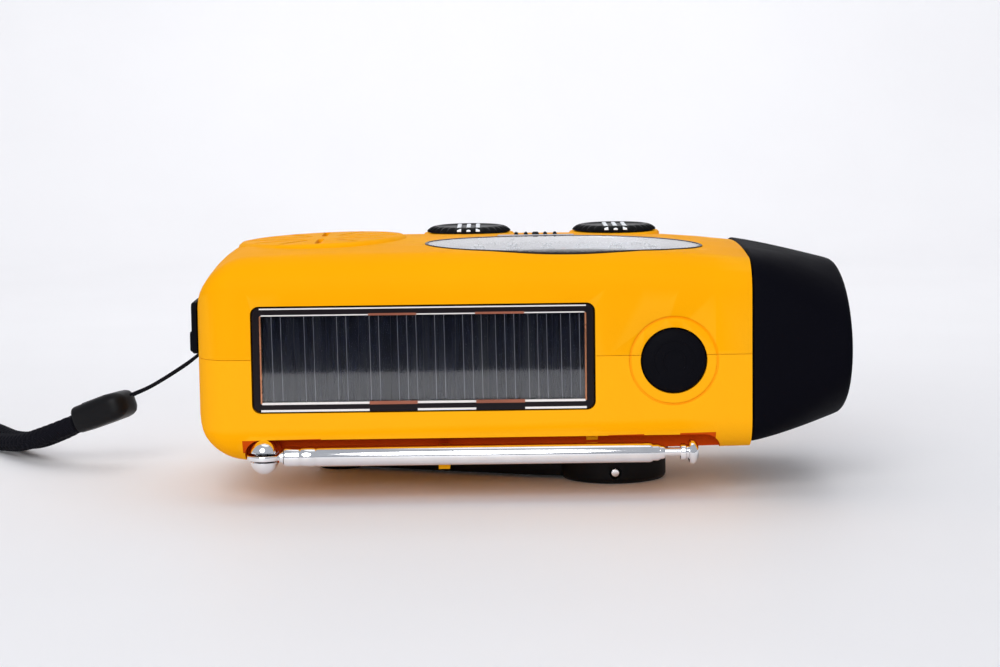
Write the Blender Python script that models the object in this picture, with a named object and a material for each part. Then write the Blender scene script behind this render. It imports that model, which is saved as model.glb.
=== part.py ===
"""Hand-crank emergency radio lying on its back, as separate closed parts.

The frame is in metres with +Z up. +X runs along the radio towards its lamp,
-Y is the long side with the solar panel, and Z is 0 on the surface that the
folded crank rests on. Lengths in this file are millimetres, and solid() turns
them into metres.
"""

import math

import bmesh
import bpy
from mathutils import Vector

MM = 0.001
GAP = 0.3

# Case
LEFT, SEAM, RIM = -74.3, 53.25, 76.45
FRONT, BACK = -34.0, 36.87
MID = (FRONT + BACK) / 2
SPLIT = 33.8
CREST, CREST_X, CREST_DROP = 58.9, -15.0, 2.3
CROWN = 0.0016
BOTTOM_LEFT, BOTTOM_SEAM = 9.4, 11.5
WALL = 2.0
EDGE_R, END_R, END_SIDE_R = 8.0, 12.0, 9.0

# Lamp head
HEAD_MID_Z, HEAD_HALF_Y, HEAD_HALF_Z = 34.0, 35.2, 18.2

# Front side, facing -Y
WINDOW = (-61.35, 17.4, 21.4, 46.1)
BUTTON_X, BUTTON_Z, BUTTON_R = 35.35, 32.5, 7.3
BUTTON_TRAVEL = 1.0

# Top, facing +Z
SPEAKER_X, SPEAKER_R, SPEAKER_TILT = -46.9, 20.4, math.radians(-1.9)
DIAL_X, DIAL_Y, DIAL_A, DIAL_B = 10.9, -14.2, 32.75, 15.4
DIAL_COVER = 1.2
NEEDLE_HALF = 6.5
KNOB_X, KNOB_Y, KNOB_R = (-11.8, 24.5), 22.0, 10.5
COLLAR_TOP = 58.5
BAND_X, BAND_Y = 4.6, 5.4
RIB_COUNT, RIB_PITCH = 5, 2.3

# Telescopic aerial
PIVOT_X, ROD_Y, ROD_Z = -58.9, -33.2, 11.3
GROOVE_TOP, GROOVE_LEFT, GROOVE_RIGHT, GROOVE_DEPTH = 15.2, -63.5, 46.3, 9.0
CLIPS = ((-17.6, 7.5, 12.6), (16.6, 13.9, 16.0))  # x, bottom, top
TUBES = (
    # name, outer radius, inner radius, left end, right end
    ("antenna_tube_1", 2.35, 2.15, -54.25, 30.4),
    ("antenna_tube_2", 2.0, 1.8, -51.0, 32.1),
    ("antenna_tube_3", 1.65, 1.45, -48.0, 33.2),
)
TIP_R, TIP_LEFT, TIP_RIGHT = 1.0, -45.0, 41.0

# Crank and gears
CRANK_X, HUB_R, HUB_TOP = 22.8, 13.6, 9.2
PIN_Z, PIN_R = 2.7, 1.1
ARM_END, ARM_BEND = (-44.7, 20.1), 8.5
ARM_W, ARM_LOW, ARM_TOP = 9.0, 0.8, 4.4
KNOB_R_LOW, KNOB_TOP = 5.6, 8.9
ARM_EYE_R = 2.3
MODULE = 1.2
DRIVE_TEETH, IDLER_PINION, IDLER_TEETH, ROTOR_TEETH = 26, 8, 24, 8
IDLER_ANGLE = math.radians(200.0)
ROTOR_ANGLE = math.radians(180.0)

# Wrist strap
PIN_AT = (-71.8, 4.0, 34.6)
BEAD_FROM, BEAD_TO = (-97.8, 21.0, 17.1), (-110.7, 26.0, 12.0)
CORD_R, STRING_R = 2.3, 0.35


def clean():
    for thing in list(bpy.data.objects):
        bpy.data.objects.remove(thing, do_unlink=True)


def material(name, colour, roughness, metallic=0.0, alpha=1.0):
    made = bpy.data.materials.get(name) or bpy.data.materials.new(name)
    made.use_nodes = True
    shader = made.node_tree.nodes["Principled BSDF"]
    shader.inputs["Base Color"].default_value = (*colour, 1.0)
    shader.inputs["Roughness"].default_value = roughness
    shader.inputs["Metallic"].default_value = metallic
    shader.inputs["Alpha"].default_value = alpha
    return made


def solid(name, points, faces, look=None, origin=(0, 0, 0)):
    """A named object from points in millimetres, its own origin at origin."""
    at = Vector(origin)
    mesh = bpy.data.meshes.new(name)
    mesh.from_pydata([(Vector(p) - at) * MM for p in points], [], faces)
    shape = bmesh.new()
    shape.from_mesh(mesh)
    bmesh.ops.recalc_face_normals(shape, faces=shape.faces)
    shape.to_mesh(mesh)
    shape.free()
    made = bpy.data.objects.new(name, mesh)
    made.location = at * MM
    bpy.context.scene.collection.objects.link(made)
    if look:
        mesh.materials.append(look)
    mesh.shade_smooth()
    mesh.set_sharp_from_angle(angle=math.radians(35))
    return made


def combine(target, tool, operation):
    """A Boolean of target with tool, which is then only a guide."""
    step = target.modifiers.new(operation.lower(), "BOOLEAN")
    step.operation = operation
    step.solver = "EXACT"
    step.object = tool
    tool.hide_render = True
    tool.display_type = "WIRE"
    return target


def cut(target, *tools):
    for tool in tools:
        combine(target, tool, "DIFFERENCE")
    return target


def add(target, *tools):
    for tool in tools:
        combine(target, tool, "UNION")
    return target


def loft(rings):
    """Points and faces of a closed body through rings of equal length."""
    count = len(rings[0])
    points = [p for ring in rings for p in ring]
    faces = [list(range(count)), list(range(len(points) - count, len(points)))]
    for i in range(len(rings) - 1):
        for j in range(count):
            k = (j + 1) % count
            faces.append([i * count + j, i * count + k, (i + 1) * count + k, (i + 1) * count + j])
    return points, faces


def turned(profile, centre, axis="Z", segments=24, hollow=False):
    """Points and faces of a round body; profile is (radius, distance along the axis)."""
    points, faces, rows = [], [], []
    for radius, along in profile:
        row = []
        for k in range(segments if radius > 0 else 1):
            turn = 2 * math.pi * (k + 0.5) / segments
            a, b = radius * math.cos(turn), radius * math.sin(turn)
            local = {"X": (along, a, b), "Y": (b, along, a), "Z": (a, b, along)}[axis]
            row.append(len(points))
            points.append(tuple(c + d for c, d in zip(centre, local)))
        rows.append(row)
    pairs = list(zip(rows, rows[1:]))
    if hollow:
        pairs.append((rows[-1], rows[0]))
    for low, high in pairs:
        for k in range(segments):
            n = (k + 1) % segments
            face = [low[k % len(low)], low[n % len(low)], high[n % len(high)], high[k % len(high)]]
            face = list(dict.fromkeys(face))
            if len(face) > 2:
                faces.append(face)
    return points, faces


def rod(centre, radius, low, high, axis="Z", segments=24, chamfer=0.0):
    """Points and faces of a plain round bar between two distances along its axis."""
    profile = [(0, low), (radius - chamfer, low), (radius, low + chamfer)]
    profile += [(radius, high - chamfer), (radius - chamfer, high), (0, high)]
    if not chamfer:
        profile = [(0, low), (radius, low), (radius, high), (0, high)]
    return turned(profile, centre, axis, segments)


def tube(centre, outer, inner, low, high, axis="Z", segments=24):
    profile = [(outer, low), (outer, high), (inner, high), (inner, low)]
    return turned(profile, centre, axis, segments, hollow=True)


def block(x0, x1, y0, y1, z0, z1):
    return loft([[(x, y0, z0), (x, y1, z0), (x, y1, z1), (x, y0, z1)] for x in (x0, x1)])


def bevel(thing, width, segments=2, angle=40):
    step = thing.modifiers.new("bevel", "BEVEL")
    step.width = width * MM
    step.segments = segments
    step.limit_method = "ANGLE"
    step.angle_limit = math.radians(angle)
    step.harden_normals = False
    return thing


def round_rectangle(half_a, half_b, radius, steps=4):
    points = []
    for corner, (sa, sb) in enumerate(((1, 1), (-1, 1), (-1, -1), (1, -1))):
        for k in range(steps + 1):
            turn = math.pi / 2 * (corner + k / steps)
            points.append((sa * (half_a - radius) + radius * math.cos(turn),
                           sb * (half_b - radius) + radius * math.sin(turn)))
    return points


def ellipse(half_a, half_b, steps=32):
    turns = [2 * math.pi * k / steps for k in range(steps)]
    return [(half_a * math.cos(t), half_b * math.sin(t)) for t in turns]


def slab(outline, centre, low, high, axis="Z"):
    """A flat plate: an outline of two coordinates, extruded along the third."""
    rings = []
    for along in (low, high):
        if axis == "Z":
            rings.append([(centre[0] + a, centre[1] + b, along) for a, b in outline])
        elif axis == "Y":
            rings.append([(centre[0] + a, along, centre[1] + b) for a, b in outline])
        else:
            rings.append([(along, centre[0] + a, centre[1] + b) for a, b in outline])
    return loft(rings)


def crest(x):
    return CREST - CREST_DROP * ((x - CREST_X) / (SEAM - CREST_X)) ** 4


def top_at(x, y):
    return crest(x) - CROWN * (y - MID) ** 2


def bottom(x):
    return BOTTOM_LEFT + (BOTTOM_SEAM - BOTTOM_LEFT) * (x - LEFT) / (SEAM - LEFT)


def rounding(distance, radius):
    """How far a quarter-round edge of this radius has drawn in at this distance from its end."""
    if distance >= radius:
        return 0.0
    return radius - math.sqrt(radius ** 2 - (radius - distance) ** 2)


def half_ring(x, wall, upper):
    """Half of the case's section at x, drawn in by a wall thickness."""
    distance = max(x - LEFT - wall, 0.0)
    side = rounding(distance, END_SIDE_R - wall / 2) + wall
    lid = rounding(distance, END_R - wall) + wall
    corner = max(EDGE_R - max(side, lid), 1.2)
    front, back = FRONT + side, BACK - side
    reach = wall and 1.0
    ring = []
    if upper:
        ring.append((x, front, SPLIT - reach))
        for k in range(5):
            turn = math.pi / 2 * k / 4
            y = front + corner * (1 - math.cos(turn))
            ring.append((x, y, top_at(x, front + corner) - lid - corner * (1 - math.sin(turn))))
        for k in range(1, 5):
            y = front + corner + (back - front - 2 * corner) * k / 5
            ring.append((x, y, top_at(x, y) - lid))
        for k in range(5):
            turn = math.pi / 2 * (1 - k / 4)
            y = back - corner * (1 - math.cos(turn))
            ring.append((x, y, top_at(x, back - corner) - lid - corner * (1 - math.sin(turn))))
        ring.append((x, back, SPLIT - reach))
        return ring
    base = bottom(x) + lid
    ring.append((x, back, SPLIT + reach))
    for k in range(5):
        turn = math.pi / 2 * k / 4
        ring.append((x, back - corner * (1 - math.cos(turn)), base + corner * (1 - math.sin(turn))))
    for k in range(5):
        turn = math.pi / 2 * (1 - k / 4)
        ring.append((x, front + corner * (1 - math.cos(turn)), base + corner * (1 - math.sin(turn))))
    ring.append((x, front, SPLIT + reach))
    return ring


def stations(wall, end):
    first = LEFT + wall
    bend = [first + (END_R - wall) * (1 - math.cos(math.pi / 2 * k / 4)) for k in range(5)]
    return bend + [-35.0, 0.0, 28.0, end]


def shell_body(name, upper, look):
    """One half of the case, hollow and open towards the other half and the lamp head."""
    outer = solid(name, *loft([half_ring(x, 0, upper) for x in stations(0, SEAM)]), look)
    hollow = solid(name + "_hollow", *loft([half_ring(x, WALL, upper) for x in stations(WALL, SEAM + 1)]))
    return outer, hollow


def speaker_slits():
    """Radial slots of the speaker's sunburst, and a round hole at its middle."""
    points, faces = [], []
    for k in range(12):
        turn = 2 * math.pi * k / 12
        near = 5.2 if k % 2 else 7.0
        out, side = Vector((math.cos(turn), math.sin(turn))), Vector((-math.sin(turn), math.cos(turn)))
        start = len(points)
        for along, z in ((near, 50), (17.5, 50), (17.5, 64), (near, 64)):
            for across in (-0.75, 0.75):
                spot = out * along + side * across
                points.append((SPEAKER_X + spot.x, MID + spot.y, z))
        for face in ((0, 1, 3, 2), (2, 3, 5, 4), (4, 5, 7, 6), (6, 7, 1, 0), (0, 2, 4, 6), (1, 7, 5, 3)):
            faces.append([start + i for i in face])
    return solid("speaker_slits", points, faces)


def speaker_boss():
    """The raised speaker disc, which leans with the end of the case."""
    points, faces = rod((0, 0, 0), SPEAKER_R, -3.5, 0.0, segments=32, chamfer=0.6)
    made = solid("speaker_boss", points, faces)
    made.location = Vector((SPEAKER_X, MID, 59.1)) * MM
    made.rotation_euler.y = SPEAKER_TILT
    return made


def screw_places():
    return [(-60.0, -18.0), (-60.0, 27.0), (46.0, -20.0), (46.0, 27.0)]


def strap_block():
    return solid("strap_block", *block(LEFT - 1, -67.0, -1.0, 9.0, 26.5, 43.0))


def build_front_shell(look):
    shell, hollow = shell_body("front_shell", True, look)
    cut(hollow, strap_block())
    cut(shell, hollow)
    add(shell, speaker_boss())
    for k, x in enumerate(KNOB_X):
        add(shell, solid(f"collar_{k}", *rod((x, KNOB_Y, 0), KNOB_R + 0.8, 56.0, COLLAR_TOP, segments=24)))
        cut(shell, solid(f"knob_hole_{k}", *rod((x, KNOB_Y, 0), 3.8, 50, 62, segments=14)))
    for k, (x, y) in enumerate(screw_places()):
        roof = top_at(x, y) - 1.0
        add(shell, solid(f"front_post_{k}", *rod((x, y, 0), 3.2, SPLIT, roof, segments=16)))
        cut(shell, solid(f"front_thread_{k}", *rod((x, y, 0), 1.5, SPLIT - 1, SPLIT + 9, segments=12)))
    cut(shell, speaker_slits())
    cut(shell, solid("dial_pocket", *slab(ellipse(DIAL_A, DIAL_B), (DIAL_X, DIAL_Y), 51.5, 62)))
    cut(shell, solid("band_slot", *block(BAND_X - 8, BAND_X + 8, BAND_Y - 1.6, BAND_Y + 1.6, 50, 62)))
    cut(shell, window_opening("window_above"), button_opening("button_above"))
    cut(shell, notch("notch_above"), pin_socket("pin_socket_above"), port_hole("ports_above"))
    return shell


def build_back_shell(look):
    shell, hollow = shell_body("back_shell", False, look)
    thick = WALL - 0.2
    lining = solid("groove_lining", *block(GROOVE_LEFT - thick, GROOVE_RIGHT + thick, FRONT - 2,
                                           FRONT + GROOVE_DEPTH + thick, 0, GROOVE_TOP + thick))
    cut(hollow, lining, solid("strap_block_low", *block(LEFT - 1, -67.0, -1.0, 9.0, 26.5, 43.0)))
    cut(shell, hollow)
    outline = round_rectangle((GROOVE_RIGHT - GROOVE_LEFT) / 2, 12, 4)
    middle = (GROOVE_RIGHT + GROOVE_LEFT) / 2
    groove = solid("groove", *slab(outline, (middle, GROOVE_TOP - 12), FRONT - 3, FRONT + GROOVE_DEPTH, "Y"))
    cut(shell, groove)
    wall = FRONT + GROOVE_DEPTH + 0.5
    for k, (x, z0, z1) in enumerate(CLIPS):
        add(shell, solid(f"clip_{k}", *block(x - 1.3, x + 1.3, FRONT + 3.6, wall, z0, z1)))
    add(shell, solid("pivot_boss", *rod((PIVOT_X, 0, ROD_Z), 3.6, FRONT + 6.2, wall, "Y")))
    cut(shell, solid("pivot_hole", *rod((PIVOT_X, 0, ROD_Z), 1.9, FRONT + 5, FRONT + 11.7, "Y", 12)))
    for k, (x, y) in enumerate(screw_places()):
        floor = bottom(x)
        add(shell, solid(f"back_post_{k}", *rod((x, y, 0), 4.2, floor + 1, SPLIT - GAP, segments=16)))
        cut(shell, solid(f"screw_hole_{k}", *rod((x, y, 0), 1.6, 5, SPLIT + 1, segments=12)))
        cut(shell, solid(f"screw_seat_{k}", *rod((x, y, 0), 3.0, 5, floor + 3.2, segments=16)))
    cut(shell, solid("shaft_hole", *rod((CRANK_X, MID, 0), 3.4, 5, 16)))
    add(shell, idler_post())
    cut(shell, solid("battery_hole", *block(-56.2, -9.8, 16.8, 30.2, 5, 14)))
    cut(shell, window_opening("window_below"), button_opening("button_below"))
    cut(shell, notch("notch_below"), pin_socket("pin_socket_below"), port_hole("ports_below"))
    return shell


def idler_post():
    x, y = idler_place()
    return solid("idler_post", *rod((x, y, 0), 3.0, bottom(x) + 1, 12.4, segments=16))


def window_opening(name):
    x0, x1, z0, z1 = WINDOW
    outline = round_rectangle((x1 - x0) / 2, (z1 - z0) / 2, 2.0)
    return solid(name, *slab(outline, ((x0 + x1) / 2, (z0 + z1) / 2), FRONT - 2, FRONT + 4, "Y"))


def button_opening(name):
    return solid(name, *rod((BUTTON_X, 0, BUTTON_Z), BUTTON_R + 0.35, FRONT - 2, FRONT + 4, "Y", 24))


def notch(name):
    """The pocket in the left end in which the strap loops round its pin."""
    return solid(name, *block(LEFT - 2, -69.4, 0.4, 7.6, 30.4, 38.8))


def pin_socket(name):
    return solid(name, *rod((PIN_AT[0], PIN_AT[1], 0), 1.3, 28.2, 41.2, segments=12))


def port_hole(name):
    return solid(name, *block(LEFT - 2, LEFT + 4, -22.5, -6.5, 35.6, 45.0))


def build_case(orange):
    build_front_shell(orange)
    build_back_shell(orange)
    for k, (x, y) in enumerate(screw_places()):
        head = bottom(x) + 3.2 - GAP
        profile = [(0, head - 1.6), (2.6, head - 1.6), (2.6, head), (1.2, head), (1.2, SPLIT + 6),
                   (0, SPLIT + 8)]
        solid(f"case_screw_{k + 1}", *turned(profile, (x, y, 0), segments=12), steel(), (x, y, head))
    door = solid("battery_door", *block(-55.8, -10.2, 17.2, 29.8, 10.2, 12.2), orange)
    add(door, solid("door_grip", *block(-20, -13, 19.5, 27.5, 9.6, 10.8)))
    build_battery_pack((17.5, 27.9, 38.3))


def build_battery_pack(heights):
    """Three cells one above another in a shrink sleeve: a lobed outline along X."""
    radius, middle_y = 5.2, 23.5
    outline = []
    for z in heights:
        outline += [(radius * math.cos(t), z + radius * math.sin(t))
                    for t in (math.radians(a) for a in (-70, -35, 0, 35, 70))]
    for z in reversed(heights):
        outline += [(-radius * math.cos(t), z + radius * math.sin(t))
                    for t in (math.radians(a) for a in (70, 35, 0, -35, -70))]
    points, faces = slab(outline, (middle_y, 0), -55.2, -10.8, "X")
    solid("battery_pack", points, faces, material("battery_sleeve", (0.03, 0.16, 0.08), 0.35))


def steel():
    return material("steel", (0.55, 0.55, 0.56), 0.3, 1.0)


def chrome():
    return material("chrome", (0.82, 0.82, 0.84), 0.12, 1.0)


def head_ring(x, inset, steps=32):
    """The lamp head's section: the case's seam section turning into an oval rim."""
    share = max((x - SEAM) / (RIM - SEAM), 0.0) ** 1.25
    ring = []
    for k in range(steps):
        turn = 2 * math.pi * (k + 0.5) / steps
        c, s = math.cos(turn), math.sin(turn)
        oval = (HEAD_HALF_Y * c, HEAD_HALF_Z * s)
        high, low = top_at(SEAM, MID) - 33.0, 33.0 - BOTTOM_SEAM
        half_z = high if s > 0 else low
        power = 2 / 6.0
        seam = ((BACK - FRONT) / 2 * math.copysign(abs(c) ** power, c),
                half_z * math.copysign(abs(s) ** power, s))
        y = MID + (1 - share) * seam[0] + share * oval[0]
        z = 33.0 * (1 - share) + HEAD_MID_Z * share + (1 - share) * seam[1] + share * oval[1]
        away = Vector((y - MID, z - 33.5))
        away -= away.normalized() * inset
        ring.append((x, MID + away.x, 33.5 + away.y))
    return ring


def build_head(black, clear):
    start = SEAM + GAP
    outer = [head_ring(x, 0) for x in (start, 59, 65, 70, RIM - 1.0)] + [head_ring(RIM, 1.0)]
    head = solid("flashlight_head", *loft(outer), black)
    cut(head, solid("head_hollow", *loft([head_ring(x, WALL) for x in (SEAM - 1, 59, 65, 71)])))
    cut(head, solid("lens_opening", *slab(ellipse(29.0, 13.2), (MID, HEAD_MID_Z), 68, 80, "X")))
    cut(head, solid("lens_seat", *slab(ellipse(31.0, 15.2), (MID, HEAD_MID_Z), 73.2, 80, "X")))
    solid("flashlight_lens", *slab(ellipse(30.7, 14.9), (MID, HEAD_MID_Z), 73.5, 75.4, "X"), clear)
    mirror = material("reflector_silver", (0.9, 0.9, 0.9), 0.08, 1.0)
    reflector = solid("flashlight_reflector", *slab(ellipse(28.6, 12.8), (MID, HEAD_MID_Z), 61.5, 73.1, "X"),
                      mirror)
    for k in range(3):
        y = MID + (k - 1) * 18.4
        cup = [(0, 61), (3.0, 61), (3.0, 63.2), (5.2, 66), (7.0, 69.5), (8.3, 74), (0, 74)]
        cut(reflector, solid(f"reflector_cup_{k}", *turned(cup, (0, y, HEAD_MID_Z), "X", 18)))
        shape = [(0, 60.3), (2.9, 60.3), (2.9, 61.2), (2.5, 61.2), (2.5, 66.0), (1.8, 67.6), (0, 68.3)]
        led = material("led_epoxy", (0.92, 0.94, 0.97), 0.08, 0.0, 0.6)
        solid(f"led_{k + 1}", *turned(shape, (0, y, HEAD_MID_Z), "X", 12), led)
    board = material("board_green", (0.03, 0.25, 0.12), 0.45)
    solid("led_board", *slab(ellipse(28.6, 12.8), (MID, HEAD_MID_Z), 58.4, 60.0, "X"), board)


def build_solar(clear):
    x0, x1, z0, z1 = WINDOW
    half_a, half_b = (x1 - x0) / 2 - 0.3, (z1 - z0) / 2 - 0.3
    centre = ((x0 + x1) / 2, (z0 + z1) / 2)
    rim = round_rectangle(half_a, half_b, 1.7)
    cover = solid("solar_window", *slab(rim, centre, FRONT - 0.2, FRONT + 3.2, "Y"), clear)
    inner = slab(round_rectangle(half_a - 1.6, half_b - 1.6, 0.8), centre, FRONT + 1.6, FRONT + 5, "Y")
    cut(cover, solid("cover_tray", *inner))
    cell = material("solar_blue", (0.01, 0.015, 0.04), 0.15)
    solid("solar_panel", *slab(round_rectangle(half_a - 2.0, half_b - 2.0, 0.5), centre,
                               FRONT + 2.0, FRONT + 3.6, "Y"), cell)


def build_button(black):
    rubber = material("button_rubber", (0.012, 0.012, 0.014), 0.6)
    profile = [(0, FRONT - 1.2), (3.5, FRONT - 1.1), (6.2, FRONT - 0.7), (BUTTON_R, FRONT + 0.2),
               (BUTTON_R, FRONT + 2.4), (8.6, FRONT + 2.4), (8.6, FRONT + 3.6), (0, FRONT + 3.6)]
    solid("power_button", *turned(profile, (BUTTON_X, 0, BUTTON_Z), "Y", 24), rubber,
          (BUTTON_X, FRONT, BUTTON_Z))
    switch = solid("button_switch", *block(BUTTON_X - 6, BUTTON_X + 6, FRONT + 5.6, FRONT + 10, BUTTON_Z - 6,
                                           BUTTON_Z + 6), black)
    add(switch, solid("switch_stem", *rod((BUTTON_X, 0, BUTTON_Z), 2.0, FRONT + 5.0, FRONT + 7, "Y", 12)))


def lid_at(x, y):
    """Height of the case's top, with its rounded front edge."""
    if y >= FRONT + EDGE_R:
        return top_at(x, y)
    return top_at(x, FRONT + EDGE_R) - rounding(y - FRONT, EDGE_R)


def build_dial(clear):
    centre = (DIAL_X, DIAL_Y)
    silver = material("dial_silver", (0.55, 0.57, 0.6), 0.35, 0.4)
    solid("dial_plate", *slab(ellipse(DIAL_A - 0.3, DIAL_B - 0.3), centre, 54.0, 55.0), silver)
    shares = (0.15, 0.45, 0.75, 0.9, 1.0)
    rings = []
    for drop, order in ((0.1 + DIAL_COVER, shares), (0.1, shares[::-1])):
        for share in order:
            outline = [(DIAL_X + a, DIAL_Y + b)
                       for a, b in ellipse((DIAL_A - 0.4) * share, (DIAL_B - 0.4) * share)]
            rings.append([(x, y, lid_at(x, y) - drop) for x, y in outline])
    solid("dial_window", *loft(rings), clear)
    needle = block(DIAL_X - 0.5, DIAL_X + 0.5, DIAL_Y - NEEDLE_HALF, DIAL_Y + NEEDLE_HALF, 55.3, 56.0)
    solid("dial_pointer", *needle, material("pointer_red", (0.6, 0.03, 0.02), 0.4), (DIAL_X, DIAL_Y, 55.6))


def build_knobs(black):
    names = (("tuning_knob", "tuning_capacitor", 1), ("volume_knob", "volume_control", 0))
    body = material("component_plastic", (0.75, 0.72, 0.65), 0.5)
    for knob, below, side in names:
        x = KNOB_X[side]
        profile = [(0, 47.4), (2.6, 47.4), (2.6, 58.8), (KNOB_R, 58.8), (KNOB_R, 59.3), (KNOB_R - 1.4, 60.0),
                   (KNOB_R - 2.4, 60.25), (0, 60.35)]
        solid(knob, *turned(profile, (x, KNOB_Y, 0), segments=24), black, (x, KNOB_Y, 58.8))
        solid(below, *slab(round_rectangle(7.5, 7.5, 1.5, 2), (x, KNOB_Y), 45.9, 47.1), body)
    build_band_switch(black)


def build_band_switch(black):
    case = block(BAND_X - 8.4, BAND_X + 8.4, BAND_Y - 4, BAND_Y + 4, 45.9, 51.0)
    switch = solid("band_switch_body", *case, steel())
    cut(switch, solid("switch_track", *block(BAND_X - 7, BAND_X + 7, BAND_Y - 1.2, BAND_Y + 1.2, 48.5, 52)))
    stem = block(BAND_X - 3, BAND_X + 3, BAND_Y - 0.9, BAND_Y + 0.9, 48.8, 58.7)
    slider = solid("band_switch_slider", *stem, black, (BAND_X, BAND_Y, 58.9))
    base = solid("slider_base", *block(BAND_X - 5.2, BAND_X + 5.2, BAND_Y - 1.3, BAND_Y + 1.3, 58.3, 58.8))
    add(slider, base)
    for k in range(RIB_COUNT):
        x = BAND_X + (k - (RIB_COUNT - 1) / 2) * RIB_PITCH
        rib = block(x - 0.5, x + 0.5, BAND_Y - 1.2, BAND_Y + 1.2, 58.6, 59.6)
        add(slider, solid(f"slider_rib_{k}", *rib))


def build_antenna():
    plating = chrome()
    at = (PIVOT_X, ROD_Y, ROD_Z)
    base = [(0, FRONT + 3.6), (2.9, FRONT + 3.6), (2.9, FRONT + 5.9), (1.6, FRONT + 5.9), (1.6, FRONT + 11.3),
            (0, FRONT + 11.3)]
    knuckle = solid("antenna_knuckle", *turned(base, (PIVOT_X, 0, ROD_Z), "Y", 14), plating, at)
    ball = [(3.2 * math.sin(math.pi * k / 6), -4.0 * math.cos(math.pi * k / 6)) for k in range(7)]
    ball[0], ball[-1] = (0, -4.0), (0, 4.0)
    add(knuckle, solid("knuckle_ball", *turned(ball, at, "Z", 14)))
    cut(knuckle, solid("knuckle_slot", *block(PIVOT_X - 6, PIVOT_X + 6, FRONT - 5, FRONT + 5.4, ROD_Z - 1.0,
                                              ROD_Z + 1.0)))
    cut(knuckle, solid("rivet_hole", *rod(at, 0.95, -5, 5, segments=12)))
    solid("antenna_rivet", *rod(at, 0.65, -3.6, 3.6, segments=10), steel(), at)
    name, outer, inner, left, right = TUBES[0]
    first = solid(name, *tube((0, ROD_Y, ROD_Z), outer, inner, left, right, "X", 20), plating, at)
    eye = solid("eye_plate", *rod(at, 3.7, -0.65, 0.65, segments=18))
    add(eye, solid("eye_neck", *block(PIVOT_X + 1, TUBES[0][3] + 1.2, ROD_Y - 2.0, ROD_Y + 2.0, ROD_Z - 0.6,
                                      ROD_Z + 0.6)))
    cut(eye, solid("eye_hole", *rod(at, 0.95, -5, 5, segments=12)))
    plug = solid("tube_plug", *rod((0, ROD_Y, ROD_Z), 2.25, left - 0.1, left + 1.5, "X", 20))
    add(first, plug, eye)
    for name, outer, inner, left, right in TUBES[1:]:
        solid(name, *tube((0, ROD_Y, ROD_Z), outer, inner, left, right, "X", 16), plating,
              (left, ROD_Y, ROD_Z))
    tip = [(0, TIP_LEFT), (TIP_R, TIP_LEFT), (TIP_R, 36.6), (1.8, 36.7), (1.8, 38.2), (2.9, 38.7),
           (2.9, 39.8),
           (1.9, 40.7), (0, TIP_RIGHT)]
    solid("antenna_tip", *turned(tip, (0, ROD_Y, ROD_Z), "X", 16), plating, (TIP_RIGHT, ROD_Y, ROD_Z))


def gear(name, centre, teeth, bore, low, high, phase, look):
    """A spur gear with plain flanks, its bore matched tooth for tooth."""
    pitch = MODULE * teeth / 2
    outer, root = pitch + 0.75 * MODULE, pitch - 1.05 * MODULE
    outline, hole = [], []
    for k in range(teeth):
        for radius, share in ((root, -0.36), (outer, -0.13), (outer, 0.13), (root, 0.36)):
            turn = 2 * math.pi * (k + share) / teeth + phase
            outline.append((radius * math.cos(turn), radius * math.sin(turn)))
            hole.append((bore * math.cos(turn), bore * math.sin(turn)))
    rows = []
    for ring, z in ((outline, low), (outline, high), (hole, high), (hole, low)):
        rows.append([(centre[0] + a, centre[1] + b, z) for a, b in ring])
    count = len(outline)
    points = [p for row in rows for p in row]
    faces = []
    for r in range(4):
        for j in range(count):
            k = (j + 1) % count
            n = (r + 1) % 4
            faces.append([r * count + j, r * count + k, n * count + k, n * count + j])
    return solid(name, points, faces, look, (*centre, low))


def idler_place():
    reach = MODULE * (DRIVE_TEETH + IDLER_PINION) / 2
    return CRANK_X + reach * math.cos(IDLER_ANGLE), MID + reach * math.sin(IDLER_ANGLE)


def rotor_place():
    x, y = idler_place()
    reach = MODULE * (IDLER_TEETH + ROTOR_TEETH) / 2
    return x + reach * math.cos(ROTOR_ANGLE), y + reach * math.sin(ROTOR_ANGLE)


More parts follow.
